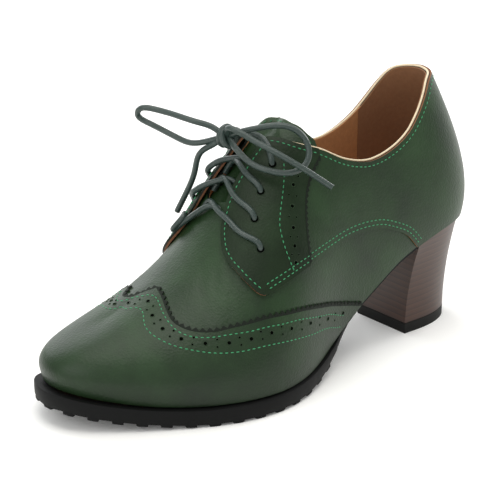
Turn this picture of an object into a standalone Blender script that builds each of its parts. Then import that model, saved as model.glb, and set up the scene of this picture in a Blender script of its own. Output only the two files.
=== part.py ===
# Block-heeled lace-up brogue shoe, left foot, in the pieces its maker would put together.
# Metres, +Z up, toe toward +X, outer side toward +Y, standing on the floor at Z = 0.
# A point of the last is named by its side (+1 outer, -1 inner), how far along the half outline it
# stands (0 at the back seam, 1 at the toe tip) and how far down from the ridge (0) to the feather line (1).

import math
from collections import namedtuple

import bmesh
import bpy
import numpy as np
from mathutils import Matrix, Vector

mm = 0.001

# Sizes of the last
last_length = 0.250
ball_width = 0.088
heel_lift = 0.0575
instep_height = 0.119
sole_height = 0.009
toe_spring = 0.0085

# Leather, one layer over the other
upper_wall = 0.0016
quarter_wall = 0.0009
eyestay_wall = 0.0009
wing_wall = 0.0010
tongue_wall = 0.0014
lap_gap = 0.0004
tongue_gap = 0.0011
seam_gap = 0.0003

# Bottom
insole_thickness = 0.0024
insole_clearance = 0.0008
sole_edge = 0.0026
waist_tuck = 0.0012
groove_depth = 0.0018
groove_width = 0.0055
groove_length = 0.0085
groove_pitch = 0.0113
seat_length = 0.046
heel_bottom_width = 0.0376
heel_bottom_depth = 0.041
heel_tip_thickness = 0.0055

# Lace
lace_diameter = 0.003
hole_clearance = 0.0003
lace_clearance = 0.0004

# Facets
column_count = 32
upper_rows = 9
column_snap = 0.006
edge_snap = 0.012
hole_sides = 8
bar_step = 2.6
cord_step = 2.2
ridge_start = 0.52
tread_start = 0.455
tongue_rows = 8
sole_columns = 34

# Height of the feather line over the last's length: share of the heel's lift and of the toe spring
FeatherRow = namedtuple("FeatherRow", "x heel toe")
feather_table = [
    FeatherRow(0.000, 1.000, 0.00),
    FeatherRow(0.100, 1.000, 0.00),
    FeatherRow(0.184, 0.887, 0.00),
    FeatherRow(0.240, 0.763, 0.00),
    FeatherRow(0.288, 0.598, 0.00),
    FeatherRow(0.336, 0.423, 0.00),
    FeatherRow(0.384, 0.258, 0.00),
    FeatherRow(0.424, 0.144, 0.00),
    FeatherRow(0.472, 0.062, 0.00),
    FeatherRow(0.528, 0.020, 0.00),
    FeatherRow(0.632, 0.000, 0.00),
    FeatherRow(0.768, 0.000, 0.00),
    FeatherRow(0.868, 0.000, 0.24),
    FeatherRow(0.948, 0.000, 0.65),
    FeatherRow(1.000, 0.000, 1.00),
]

# Height of the ridge along the top: share of the instep's height over the sole
RidgeRow = namedtuple("RidgeRow", "x rise")
ridge_table = [
    RidgeRow(0.104, 1.209),
    RidgeRow(0.240, 1.227),
    RidgeRow(0.320, 1.209),
    RidgeRow(0.392, 1.164),
    RidgeRow(0.448, 1.091),
    RidgeRow(0.500, 1.000),
    RidgeRow(0.540, 0.909),
    RidgeRow(0.588, 0.791),
    RidgeRow(0.624, 0.682),
    RidgeRow(0.664, 0.577),
    RidgeRow(0.704, 0.500),
    RidgeRow(0.748, 0.432),
    RidgeRow(0.800, 0.377),
    RidgeRow(0.856, 0.332),
]

# Ribs of the last. x and top_x are shares of the length, widths are shares of the ball width,
# up_low and down_top are shares of the rib's own rise.
Rib = namedtuple("Rib", "name x outer inner top_x top_mid top_half out_low up_low out_top down_top")
rib_table = [
    Rib("back", 0.000, 0.000, 0.000, 0.104, 0.000, 0.000, 0.102, 0.284, 0.159, 0.308),
    Rib("heel arc", 0.028, 0.176, 0.176, 0.116, 0.000, 0.097, 0.091, 0.284, 0.136, 0.308),
    Rib("heel side", 0.088, 0.284, 0.278, 0.152, 0.000, 0.153, 0.068, 0.284, 0.102, 0.330),
    Rib("seat", 0.180, 0.318, 0.290, 0.216, 0.000, 0.170, 0.068, 0.310, 0.068, 0.330),
    Rib("breast", 0.280, 0.318, 0.256, 0.304, 0.000, 0.148, 0.068, 0.350, 0.091, 0.250),
    Rib("waist", 0.400, 0.335, 0.233, 0.388, -0.017, 0.080, 0.091, 0.340, 0.182, 0.100),
    Rib("shank", 0.520, 0.489, 0.284, 0.472, -0.040, 0.000, 0.068, 0.300, 0.273, 0.017),
    Rib("joint", 0.628, 0.580, 0.375, 0.548, -0.051, 0.000, 0.045, 0.290, 0.307, 0.000),
    Rib("ball", 0.724, 0.551, 0.420, 0.640, -0.051, 0.000, 0.045, 0.365, 0.307, 0.000),
    Rib("toe base", 0.828, 0.420, 0.403, 0.728, -0.051, 0.000, 0.057, 0.460, 0.284, 0.000),
    Rib("toe side", 0.928, 0.244, 0.330, 0.808, -0.057, 0.000, 0.068, 0.575, 0.261, 0.000),
    Rib("toe corner", 0.984, 0.091, 0.216, 0.852, -0.057, 0.000, 0.057, 0.680, 0.250, 0.000),
    Rib("tip", 1.000, -0.057, 0.057, 0.864, -0.057, 0.000, 0.057, 0.690, 0.239, 0.000),
]

# A panel that reaches the sole ends this far down, just clear of it
panel_foot = 0.992

# Edge of the collar and of the throat, from the back seam to the throat's end, as places on the last
PanelRow = namedtuple("PanelRow", "along down")
collar_table = [
    PanelRow(0.000, 0.075),
    PanelRow(0.050, 0.088),
    PanelRow(0.104, 0.125),
    PanelRow(0.136, 0.190),
    PanelRow(0.174, 0.280),
    PanelRow(0.206, 0.350),
    PanelRow(0.240, 0.400),
    PanelRow(0.300, 0.430),
    PanelRow(0.365, 0.390),
    PanelRow(0.422, 0.310),
    PanelRow(0.478, 0.225),
    PanelRow(0.535, 0.095),
]
facing_edge_table = [
    PanelRow(0.535, 0.095),
    PanelRow(0.580, 0.085),
    PanelRow(0.612, 0.095),
    PanelRow(0.640, 0.120),
    PanelRow(0.654, 0.155),
    PanelRow(0.664, 0.210),
    PanelRow(0.667, 0.250),
]
throat_table = [
    PanelRow(0.535, 0.095),
    PanelRow(0.580, 0.092),
    PanelRow(0.612, 0.095),
    PanelRow(0.635, 0.075),
    PanelRow(0.650, 0.040),
    PanelRow(0.658, 0.000),
]
quarter_seam_table = [
    PanelRow(0.000, panel_foot),
    PanelRow(0.214, panel_foot),
    PanelRow(0.224, 0.950),
    PanelRow(0.244, 0.870),
    PanelRow(0.270, 0.800),
    PanelRow(0.302, 0.730),
    PanelRow(0.334, 0.690),
    PanelRow(0.374, 0.660),
    PanelRow(0.422, 0.640),
    PanelRow(0.536, 0.600),
    PanelRow(0.622, 0.575),
    PanelRow(0.640, 0.500),
    PanelRow(0.655, 0.400),
    PanelRow(0.664, 0.320),
    PanelRow(0.667, 0.280),
]
eyestay_rear_table = [
    PanelRow(0.430, 0.330),
    PanelRow(0.456, 0.362),
    PanelRow(0.484, 0.410),
    PanelRow(0.494, 0.460),
    PanelRow(0.500, 0.540),
    PanelRow(0.503, 0.605),
]
# Edge of the winged cap, from the sole up to the peak on the ridge
wing_table = [
    PanelRow(0.340, panel_foot),
    PanelRow(0.426, 0.830),
    PanelRow(0.490, 0.760),
    PanelRow(0.590, 0.680),
    PanelRow(0.678, 0.590),
    PanelRow(0.746, 0.510),
    PanelRow(0.780, 0.410),
    PanelRow(0.795, 0.290),
    PanelRow(0.798, 0.170),
    PanelRow(0.800, 0.000),
]

# Thickness of the outsole from toe to breast as shares of its height at the ball, and how far its
# edge stands out, from 1 for the welted forepart to 0 for the tucked waist
SoleRow = namedtuple("SoleRow", "x thickness edge")
sole_table = [
    SoleRow(0.160, 0.300, 0.0),
    SoleRow(0.330, 0.300, 0.0),
    SoleRow(0.372, 0.340, 0.1),
    SoleRow(0.400, 0.520, 0.5),
    SoleRow(0.430, 0.760, 0.9),
    SoleRow(0.470, 0.930, 1.0),
    SoleRow(0.540, 1.000, 1.0),
    SoleRow(1.000, 1.000, 1.0),
]

# Lace holes from the lowest up, and where the laces between two levels cross on the ridge
HoleRow = namedtuple("HoleRow", "along down cross")
hole_table = [
    HoleRow(0.610, 0.420, 0.640),
    HoleRow(0.608, 0.310, 0.605),
    HoleRow(0.584, 0.250, 0.573),
    HoleRow(0.545, 0.215, 0.545),
]

# Bow: the knot, and the routes of its loops and ends in millimetres from the knot's centre
knot_centre = (0.1445, -0.005, 0.1200)
knot_size = (0.0095, 0.0100, 0.0110)
knot_gap = 0.0008
cord_start = 0.0022
left_loop = [(4, -7, 4), (9, -12, 6), (14, -22, 8), (19, -33, 9.5), (23, -39, 9), (22.5, -41.5, 5),
             (19, -38, 1.5), (16, -30, -1), (13, -23, -3.5), (10, -15, -5), (5.5, -8.5, -3.5)]
left_end = [(2.5, -3.5, -9), (8.5, -12, -13), (11, -18, -20), (14.5, -25, -30), (17, -30, -42)]
right_loop = [(-3, 7.5, 3.5), (-8, 13, 5.5), (-14, 19, 7), (-19, 24, 6.5), (-23, 29, 2.5), (-24, 32.5, -3.5),
              (-21.5, 34, -9), (-16.5, 33, -12.5), (-11, 29, -13.5), (-6, 23.5, -12.5), (-2, 16, -10), (1, 9, -4.5)]
right_end = [(2, 3.5, 7.5), (-1.5, 9, 9.5), (-5, 16, 9.5), (-8, 25, 4), (-12, 33.5, -4), (-17.5, 39.5, -11),
             (-23.5, 44, -17)]

collection_name = "heeled_oxford_shoe"
quarter_offset = lap_gap + quarter_wall
eyestay_offset = quarter_offset + lap_gap + eyestay_wall
wing_offset = lap_gap + wing_wall
tongue_offset = -(upper_wall + tongue_gap)
lace_rise = eyestay_offset + lace_clearance + lace_diameter / 2


def clear_scene():
    for item in list(bpy.data.objects):
        bpy.data.objects.remove(item, do_unlink=True)


def new_collection(name):
    found = bpy.data.collections.new(name)
    bpy.context.scene.collection.children.link(found)
    return found


# Smooth curves through tables

def natural_curve(knots, values):
    """A smooth open curve through the values; returns value and slope at any place."""
    knots = np.asarray(knots, float)
    values = np.asarray(values, float)
    step = np.diff(knots)
    count = len(knots)
    system = np.eye(count)
    right = np.zeros(count)
    for i in range(1, count - 1):
        system[i, i - 1:i + 2] = step[i - 1], 2 * (step[i - 1] + step[i]), step[i]
        right[i] = 6 * ((values[i + 1] - values[i]) / step[i] - (values[i] - values[i - 1]) / step[i - 1])
    bend = np.linalg.solve(system, right)

    def evaluate(place):
        place = np.asarray(place, float)
        inside = np.clip(place, knots[0], knots[-1])
        i = np.clip(np.searchsorted(knots, inside, side="right") - 1, 0, count - 2)
        d = step[i]
        a = inside - knots[i]
        b = knots[i + 1] - inside
        low = values[i] / d - bend[i] * d / 6
        high = values[i + 1] / d - bend[i + 1] * d / 6
        value = (bend[i] * b**3 + bend[i + 1] * a**3) / (6 * d) + low * b + high * a
        slope = (bend[i + 1] * a**2 - bend[i] * b**2) / (2 * d) - low + high
        return value + (place - inside) * slope, slope

    return evaluate


def closed_curve(knots, values, total):
    """A smooth closed curve through rows of values; returns the row at any place round it."""
    count = len(knots)
    step = np.diff(np.append(knots, total))
    system = np.zeros((count, count))
    right = np.zeros((count, values.shape[1]))
    for i in range(count):
        after = (i + 1) % count
        system[i, i - 1] += step[i - 1]
        system[i, i] += 2 * (step[i - 1] + step[i])
        system[i, after] += step[i]
        right[i] = 6 * ((values[after] - values[i]) / step[i] - (values[i] - values[i - 1]) / step[i - 1])
    bend = np.linalg.solve(system, right)

    def evaluate(place):
        place = np.mod(np.asarray(place, float), total)
        i = np.clip(np.searchsorted(knots, place, side="right") - 1, 0, count - 1)
        j = (i + 1) % count
        d = step[i][..., None]
        a = (place - knots[i])[..., None]
        b = d - a
        low = values[i] / d - bend[i] * d / 6
        high = values[j] / d - bend[j] * d / 6
        return (bend[i] * b**3 + bend[j] * a**3) / (6 * d) + low * b + high * a

    return evaluate


def table_line(table, column_in, column_out):
    """Straight runs between the rows of a table."""
    places = [getattr(row, column_in) for row in table]
    values = [getattr(row, column_out) for row in table]
    return lambda place: float(np.interp(place, places, values))


def steady_curve(places, values):
    """A rounded line through the values, which keeps between its neighbouring values."""
    places = np.asarray(places, float)
    values = np.asarray(values, float)
    slopes = np.gradient(values, places)
    steep = np.diff(values) / np.diff(places)
    slopes[1:-1] = np.where(steep[:-1] * steep[1:] > 0, slopes[1:-1], 0.0)
    limit = 3 * np.minimum(np.abs(np.append(steep[0], steep)), np.abs(np.append(steep, steep[-1])))
    slopes = np.clip(slopes, -limit, limit)

    def evaluate(place):
        i = np.clip(np.searchsorted(places, place, side="right") - 1, 0, len(places) - 2)
        d = places[i + 1] - places[i]
        t = np.clip((place - places[i]) / d, 0.0, 1.0)
        return (values[i] * (1 + 2 * t) * (1 - t)**2 + values[i + 1] * t * t * (3 - 2 * t)
                + d * slopes[i] * t * (1 - t)**2 - d * slopes[i + 1] * t * t * (1 - t))

    return evaluate


def panel_line(table):
    """How far down a panel's edge runs, as a rounded line over how far along."""
    return steady_curve([row.along for row in table], [row.down for row in table])


# The last

feather_heel = natural_curve([row.x for row in feather_table], [row.heel for row in feather_table])
feather_toe = natural_curve([row.x for row in feather_table], [row.toe for row in feather_table])
ridge_rise = natural_curve([row.x for row in ridge_table], [row.rise for row in ridge_table])


def feather_height(x):
    """Height of the line where the upper meets the sole, flat under the ball."""
    share = np.asarray(x) / last_length
    lift = np.maximum(feather_heel(share)[0], 0.0) * (heel_lift - sole_height)
    spring = np.maximum(feather_toe(share)[0], 0.0) * toe_spring
    flat_end = feather_table[10].x
    lift = np.where(share < flat_end, lift, 0.0)
    spring = np.where(share > flat_end, spring, 0.0)
    return sole_height + lift + spring


def ridge_height(x):
    return sole_height + ridge_rise(np.asarray(x) / last_length)[0] * (instep_height - sole_height)


def ridge_slope(x):
    return ridge_rise(np.asarray(x) / last_length)[1] * (instep_height - sole_height) / last_length


def rib_row(rib, side):
    """A rib's row of real sizes for one side of the last."""
    width = rib.outer if side > 0 else -rib.inner
    foot_x = rib.x * last_length
    top_x = rib.top_x * last_length
    rise = float(ridge_height(top_x) - feather_height(foot_x))
    return (foot_x, width * ball_width, top_x, rib.top_mid * ball_width,
            rib.out_low * ball_width, rib.up_low * rise, rib.out_top * ball_width, rib.down_top * rise)


outer_ribs = np.array([rib_row(rib, 1) for rib in rib_table])
inner_ribs = np.array([rib_row(rib, -1) for rib in rib_table[-2:0:-1]])
rib_steps = np.linalg.norm(np.diff(outer_ribs[:, :2], axis=0), axis=1)
half_outline = float(rib_steps.sum())
rib_places = np.append(0.0, np.cumsum(rib_steps) / half_outline)
top_half_at = steady_curve(rib_places, [rib.top_half * ball_width for rib in rib_table])
rib_at = closed_curve(np.append(rib_places, 2 - rib_places[-2:0:-1]), np.vstack([outer_ribs, inner_ribs]), 2.0)


def place_round(side, along):
    """Place round the outline: 0 at the back seam, 1 at the toe tip over the outer side, 2 back again."""
    return along if side > 0 else 2 - along


def last_point(place, down):
    """A point of the last, on the rib at this place round the outline."""
    foot_x, foot_y, top_x, top_mid, out_low, up_low, out_top, down_top = np.moveaxis(rib_at(place), -1, 0)
    side = np.where(np.mod(place, 2) < 1, 1, -1)
    top_y = top_mid + side * top_half_at(1 - np.abs(1 - np.mod(place, 2)))
    foot = np.stack([foot_x, foot_y, feather_height(foot_x)], -1)
    top = np.stack([top_x, top_y, ridge_height(top_x)], -1)
    away = foot[..., :2] - top[..., :2]
    away = away / np.maximum(np.linalg.norm(away, axis=-1, keepdims=True), 1e-9)
    flat = np.concatenate([away, np.zeros_like(away[..., :1])], -1)
    follow = np.clip(1 - down_top / (0.08 * instep_height), 0, 1) * away[..., 0] * ridge_slope(top_x)
    crown = np.concatenate([away, follow[..., None]], -1)
    up = np.array([0.0, 0.0, 1.0])
    low_handle = foot + flat * out_low[..., None] + up * up_low[..., None]
    top_handle = top + crown * out_top[..., None] - up * down_top[..., None]
    t = (1 - np.asarray(down, float))[..., None]
    return (foot * (1 - t)**3 + 3 * low_handle * t * (1 - t)**2
            + 3 * top_handle * t * t * (1 - t) + top * t**3)


def last_normal(place, down):
    """Outward direction of the last at a place."""
    reach = 0.003
    small = 0.004
    down = np.asarray(down, float)
    low = np.clip(down + small, 0, 1)
    high = np.clip(down - small, 0, 1)
    below_ridge = np.maximum(down, 0.02)
    around = last_point(place + reach, below_ridge) - last_point(place - reach, below_ridge)
    upward = last_point(place, high) - last_point(place, low)
    normal = np.cross(upward, around)
    return normal / np.linalg.norm(normal, axis=-1, keepdims=True)


def skin(side, along, down, offset=0.0):
    """A point of the shoe's outer skin, moved out from it by the offset."""
    place = np.asarray(place_round(side, along), float)
    down = np.asarray(down, float)
    normal = last_normal(place, down)
    if down < 1e-9 and along > ridge_start:
        normal = normal + last_normal(np.asarray(place_round(-side, along), float), down)
        normal /= np.linalg.norm(normal)
    return last_point(place, down) + normal * offset


def feather_frame(place):
    """A point of the feather line, its direction round the outline and its level outward direction."""
    one = np.asarray(1.0)
    here = last_point(np.asarray(place), one)
    run = last_point(np.asarray(place + 0.003), one) - last_point(np.asarray(place - 0.003), one)
    run /= np.linalg.norm(run)
    outward = np.array([-run[1], run[0], 0.0])
    return here, run, outward / np.linalg.norm(outward)


# Meshes and materials

def srgb(hex_colour):
    parts = [int(hex_colour[i:i + 2], 16) / 255 for i in (0, 2, 4)]
    return [c / 12.92 if c <= 0.04045 else ((c + 0.055) / 1.055)**2.4 for c in parts] + [1.0]


def material(name, hex_colour, roughness, metallic=0.0):
    made = bpy.data.materials.new(name)
    made.use_nodes = True
    shader = made.node_tree.nodes["Principled BSDF"]
    shader.inputs["Base Color"].default_value = srgb(hex_colour)
    shader.inputs["Roughness"].default_value = roughness
    shader.inputs["Metallic"].default_value = metallic
    made.diffuse_color = srgb(hex_colour)
    return made


def add_object(name, mesh_or_curve, colour, roughness):
    item = bpy.data.objects.new(name, mesh_or_curve)
    mesh_or_curve.materials.append(material(name + "_material", colour, roughness))
    parts.objects.link(item)
    return item


def mesh_from(name, faces_of_points):
    """A mesh from faces given by their corner points, with shared corners merged."""
    work = bmesh.new()
    for corners in faces_of_points:
        work.faces.new([work.verts.new(corner) for corner in corners])
    bmesh.ops.remove_doubles(work, verts=work.verts, dist=1e-6)
    bmesh.ops.dissolve_degenerate(work, dist=1e-7, edges=work.edges)
    mesh = bpy.data.meshes.new(name)
    work.to_mesh(mesh)
    work.free()
    mesh.shade_smooth()
    mesh.set_sharp_from_angle(angle=math.radians(40))
    return mesh


def grid_faces(rows, side):
    """Facets of a grid of points, all split the same way, facing outward on the given side of the shoe."""
    faces = []
    for near, far in zip(rows, rows[1:]):
        for k in range(len(near) - 1):
            for corners in ([near[k], far[k], near[k + 1]], [far[k], far[k + 1], near[k + 1]]):
                faces.append(corners if side > 0 else corners[::-1])
    return faces


def add_leather(name, faces, wall, colour, roughness):
    """An open sheet of leather, given its wall on the inside."""
    item = add_object(name, mesh_from(name, faces), colour, roughness)
    thicken = item.modifiers.new("wall", "SOLIDIFY")
    thicken.thickness = wall
    thicken.offset = -1.0
    thicken.use_even_offset = True
    thicken.use_quality_normals = True
    return item


def upper_columns():
    """Places along the half outline where the upper's columns of facets stand."""
    corners = [row.along for row in throat_table]
    even = [i / column_count for i in range(column_count + 1)]
    return sorted(corners + [c for c in even if min(abs(c - m) for m in corners) > column_snap])


def panel_columns(start, end, corners):
    """The upper's columns between two places, with the corners of a panel between them."""
    shared = [c for c in upper_columns() if start < c < end]
    return sorted(set([start, end] + shared + [c for c in corners if start < c < end]))


def quarter_corners():
    return [row.along for row in quarter_seam_table[1:5] + quarter_seam_table[10:]]


def row_down(along, row):
    """How far down one of the upper's rows of facets runs at this place along."""
    opening = opening_line(along)
    return opening + (1 - opening) * row / upper_rows


def settle(value, low, high):
    """The value kept between two edges, and moved onto one that it nearly meets."""
    if value < low + edge_snap:
        return low
    return high if value > high - edge_snap else value


def panel_grid(side, columns, top, low, offset):
    """Points of a panel on the upper's own rows, cut off at its top and low lines."""
    grid = []
    for along in columns:
        first, last = top(along), low(along)
        downs = [settle(row_down(along, row), first, last) for row in range(upper_rows + 1)]
        downs[0], downs[-1] = first, last
        grid.append([skin(side, along, down, offset) for down in downs])
    return grid


collar_line = panel_line(collar_table)
throat_line = panel_line(throat_table)
facing_line = panel_line(facing_edge_table)
seam_line = table_line(quarter_seam_table, "along", "down")
eyestay_line = table_line(eyestay_rear_table, "along", "down")
wing_line = table_line(wing_table, "along", "down")
collar_end = collar_table[-1].along
throat_end = throat_table[-1].along
facing_end = facing_edge_table[-1].along
facing_corner = quarter_seam_table[10].along


def opening_line(along):
    if along <= collar_end:
        return collar_line(along)
    return throat_line(along) if along < throat_end else 0.0


def facing_top(along):
    return collar_line(along) if along <= collar_end else facing_line(along)


def build_upper():
    columns = upper_columns()
    faces = []
    for side in (1, -1):
        grid = panel_grid(side, columns, opening_line, lambda along: 1.0, 0.0)
        faces += grid_faces(grid, side)
    return add_leather("upper", faces, upper_wall, "3C4F3A", 0.42)


def build_quarter(side, name):
    columns = panel_columns(0.0, facing_end, quarter_corners())
    grid = panel_grid(side, columns, facing_top, seam_line, quarter_offset)
    for point in grid[0]:
        point[1] = side * seam_gap
    return add_leather(name, grid_faces(grid, side), quarter_wall, "3A4D38", 0.42)


def build_eyestay(side, name):
    rear_end = eyestay_rear_table[-1].along
    corners = [row.along for row in eyestay_rear_table] + quarter_corners()
    columns = panel_columns(eyestay_rear_table[0].along, facing_end, corners)

    def low_line(along):
        return eyestay_line(along) if along <= rear_end else seam_line(along)

    grid = panel_grid(side, columns, facing_top, low_line, eyestay_offset)
    return add_leather(name, grid_faces(grid, side), eyestay_wall, "42563F", 0.40)


def build_wing_cap():
    columns = panel_columns(wing_table[0].along, 1.0, [row.along for row in wing_table[5:]])
    faces = []
    for side in (1, -1):
        grid = panel_grid(side, columns, wing_line, lambda along: panel_foot, wing_offset)
        faces += grid_faces(grid, side)
    return add_leather("wing_cap", faces, wing_wall, "3F523C", 0.38)


def build_tongue():
    bottom_end = 0.700
    half_share = 0.330
    columns = 8
    top_line = lambda down: 0.500 - 0.07 * (down / half_share)**1.5
    grid = []
    spread = [half_share * (1 - 2 * k / columns) for k in range(columns + 1)]
    for row in range(tongue_rows + 1):
        line = []
        for place in spread:
            side = 1 if place >= 0 else -1
            down = abs(place)
            start = top_line(down)
            along = start + (bottom_end - start) * row / tongue_rows
            line.append(skin(side, along, down, tongue_offset))
        grid.append(line)
    faces = grid_faces(grid, -1)
    return add_leather("tongue", faces, tongue_wall, "384A36", 0.45)


# Plates: the insole, the outsole, the heel and its tip are stacks of outlines

def feather_rung(along, inset):
    """The two points of the feather line at a station, moved outward by minus the inset."""
    rung = []
    for side in (1, -1):
        here, _, outward = feather_frame(place_round(side, along))
        rung.append(here - outward * inset)
    return rung[:1] if along in (0.0, 1.0) else rung


def plate_faces(levels):
    """Faces of a stack of levels, from the top down; each level is a list of rungs, back to front."""
    faces = []
    for level, turned in ((levels[0], False), (levels[-1], True)):
        for back, front in zip(level, level[1:]):
            ring = [back[0]] + [back[-1]] * (len(back) > 1) + [front[-1]] + [front[0]] * (len(front) > 1)
            faces.append(ring[::-1] if turned else ring)
    for upper_level, lower_level in zip(levels, levels[1:]):
        outer = [(u[0], low[0]) for u, low in zip(upper_level, lower_level)]
        inner = [(u[-1], low[-1]) for u, low in zip(upper_level, lower_level)]
        for (a, b), (c, d) in zip(outer, outer[1:]):
            faces.append([a, c, d, b])
        for (a, b), (c, d) in zip(inner, inner[1:]):
            faces.append([a, b, d, c])
        first, last = (upper_level[0], lower_level[0]), (upper_level[-1], lower_level[-1])
        if len(first[0]) > 1:
            faces.append([first[0][0], first[1][0], first[1][1], first[0][1]])
        if len(last[0]) > 1:
            faces.append([last[0][0], last[0][1], last[1][1], last[1][0]])
    return faces


def shifted(rungs, height):
    """The same rungs at another height, which may depend on the point."""
    return [[np.array([p[0], p[1], height(p)]) for p in rung] for rung in rungs]


def add_plate(name, levels, colour, roughness):
    item = add_object(name, mesh_from(name, plate_faces(levels)), colour, roughness)
    work = bmesh.new()
    work.from_mesh(item.data)
    bmesh.ops.recalc_face_normals(work, faces=work.faces)
    work.to_mesh(item.data)
    work.free()
    return item


def along_at(x, side=1):
    """How far along the half outline the feather line reaches this length."""
    alongs = np.linspace(0, 1, 401)
    xs = last_point(np.asarray(place_round(side, alongs)), np.ones_like(alongs))[:, 0]
    return float(np.interp(x, xs, alongs))


def heel_stations():
    end = along_at(seat_length)
    return [end * share for share in (0.0, 0.08, 0.17, 0.27, 0.37, 0.48, 0.60, 0.72, 0.86, 1.0)]


def sole_stations():
    start = along_at(seat_length + seam_gap)
    return [start + (1 - start) * i / sole_columns for i in range(sole_columns)] + [1.0]


def build_insole():
    inset = upper_wall + insole_clearance
    rungs = [feather_rung(along, inset) for along in heel_stations()[:-1] + sole_stations()]
    levels = [shifted(rungs, lambda p: feather_height(p[0]) + insole_thickness),
              shifted(rungs, lambda p: feather_height(p[0]))]
    return add_plate("insole", levels, "6B4A30", 0.6)


sole_thickness = table_line(sole_table, "x", "thickness")
sole_stand = table_line(sole_table, "x", "edge")


def sole_inset(x):
    stand = sole_stand(x / last_length)
    return waist_tuck * (1 - stand) - sole_edge * stand


def sole_rungs():
    rungs = []
    for along in sole_stations():
        x = float(last_point(np.asarray(place_round(1, along)), np.asarray(1.0))[0])
        rungs.append(feather_rung(along, sole_inset(x)))
    back = seat_length + seam_gap
    rungs[0] = [np.array([back, p[1], p[2]]) for p in rungs[0]]
    return rungs


def sole_top(p):
    return feather_height(min(p[0], last_length)) - seam_gap


def sole_bottom(p):
    x = min(p[0], last_length)
    return feather_height(x) - sole_height * sole_thickness(x / last_length)


def groove_places():
    """Places round the outline where the grooves of the tread stand, an even pitch apart."""
    for side in (1, -1):
        alongs = np.linspace(1.0, along_at(tread_start * last_length, side), 200)
        line = last_point(np.asarray(place_round(side, alongs)), np.ones_like(alongs))
        lengths = np.append(0.0, np.cumsum(np.linalg.norm(np.diff(line, axis=0), axis=1)))
        for k in range(int(lengths[-1] / groove_pitch)):
            along = np.interp((k + 0.5) * groove_pitch, lengths, alongs)
            yield float(place_round(side, along))


def build_grooves():
    """Boxes that cut the tread's edge into lugs."""
    work = bmesh.new()
    for place in groove_places():
        here, run, outward = (Vector(part) for part in feather_frame(place))
        up = run.cross(outward)
        up = up if up.z > 0 else -up
        base = Vector((here.x, here.y, float(sole_bottom(here))))
        reach = groove_length + 2 * sole_edge
        centre = base + outward * (2 * sole_edge - reach / 2)
        turn = Matrix((run, outward, up)).transposed().to_4x4()
        size = Matrix.Diagonal((groove_width, reach, 2 * groove_depth, 1.0))
        bmesh.ops.create_cube(work, size=1.0, matrix=Matrix.Translation(centre) @ turn @ size)
    mesh = bpy.data.meshes.new("grooves")
    bmesh.ops.recalc_face_normals(work, faces=work.faces)
    work.to_mesh(mesh)
    work.free()
    return add_cutter("grooves", mesh)


def add_cutter(name, mesh):
    item = bpy.data.objects.new(name, mesh)
    cutters.objects.link(item)
    item.hide_render = True
    item.display_type = "WIRE"
    return item


def cut(item, cutter, operation="DIFFERENCE"):
    step = item.modifiers.new(cutter.name, "BOOLEAN")
    step.operation = operation
    step.solver = "EXACT"
    step.object = cutter


def build_outsole():
    rungs = sole_rungs()
    levels = [shifted(rungs, sole_top), shifted(rungs, sole_bottom)]
    item = add_plate("outsole", levels, "1E1F1F", 0.55)
    cut(item, build_grooves())
    return item


def heel_bottom_point(p, height):
    """The top outline of the heel drawn in to its bottom outline."""
    side_width = abs(float(last_point(np.asarray(place_round(1 if p[1] > 0 else -1, along_at(seat_length))),
                                      np.asarray(1.0))[1]))
    x = seat_length - (seat_length - p[0]) * heel_bottom_depth / seat_length
    y = p[1] * heel_bottom_width / 2 / side_width
    return np.array([x, y, height])


def heel_rungs():
    rungs = [feather_rung(along, seam_gap) for along in heel_stations()]
    rungs[-1] = [np.array([seat_length, p[1], p[2]]) for p in rungs[-1]]
    return rungs


def build_heel():
    top = shifted(heel_rungs(), lambda p: feather_height(p[0]) - seam_gap)
    low_height = heel_tip_thickness + seam_gap
    bottom = [[heel_bottom_point(p, low_height) for p in rung] for rung in top]
    levels = [top]
    for share in (0.90, 0.78, 0.62, 0.44, 0.22):
        blend = share**1.8
        level = []
        for high, low in zip(top, bottom):
            rung = []
            for p, q in zip(high, low):
                mixed = p * blend + q * (1 - blend)
                mixed[2] = p[2] * share + q[2] * (1 - share)
                rung.append(mixed)
            level.append(rung)
        levels.append(level)
    levels.append(bottom)
    return add_plate("heel", levels, "3A2A25", 0.5)


def build_heel_tip():
    rungs = heel_rungs()
    levels = [[[heel_bottom_point(p, height) for p in rung] for rung in rungs]
              for height in (heel_tip_thickness, 0.0)]
    return add_plate("heel_tip", levels, "2A2A26", 0.6)


# Lace holes

def build_hole_cutter(side):
    work = bmesh.new()
    depth = 2 * (upper_wall + eyestay_offset) + 4 * mm
    for row in hole_table:
        centre = Vector(skin(side, row.along, row.down, (eyestay_offset - upper_wall) / 2))
        ahead = Vector(skin(side, row.along, row.down, eyestay_offset)) - centre
        turn = ahead.to_track_quat("Z", "Y").to_matrix().to_4x4()
        radius = lace_diameter / 2 + hole_clearance
        bmesh.ops.create_cone(work, cap_ends=True, segments=hole_sides, radius1=radius, radius2=radius,
                              depth=depth, matrix=Matrix.Translation(centre) @ turn)
    name = "lace_holes_outer" if side > 0 else "lace_holes_inner"
    mesh = bpy.data.meshes.new(name)
    work.to_mesh(mesh)
    work.free()
    return add_cutter(name, mesh)


# Lace: bars over the throat

def tube_curve(name, points, diameter):
    """A round cord through the points, as a curve with filled ends."""
    curve = bpy.data.curves.new(name, "CURVE")
    curve.dimensions = "3D"
    curve.bevel_depth = diameter / 2
    curve.bevel_resolution = 2
    curve.use_fill_caps = True
    spline = curve.splines.new("POLY")
    spline.points.add(len(points) - 1)
    for point, place in zip(spline.points, points):
        point.co = (*place, 1.0)
    return curve


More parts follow.
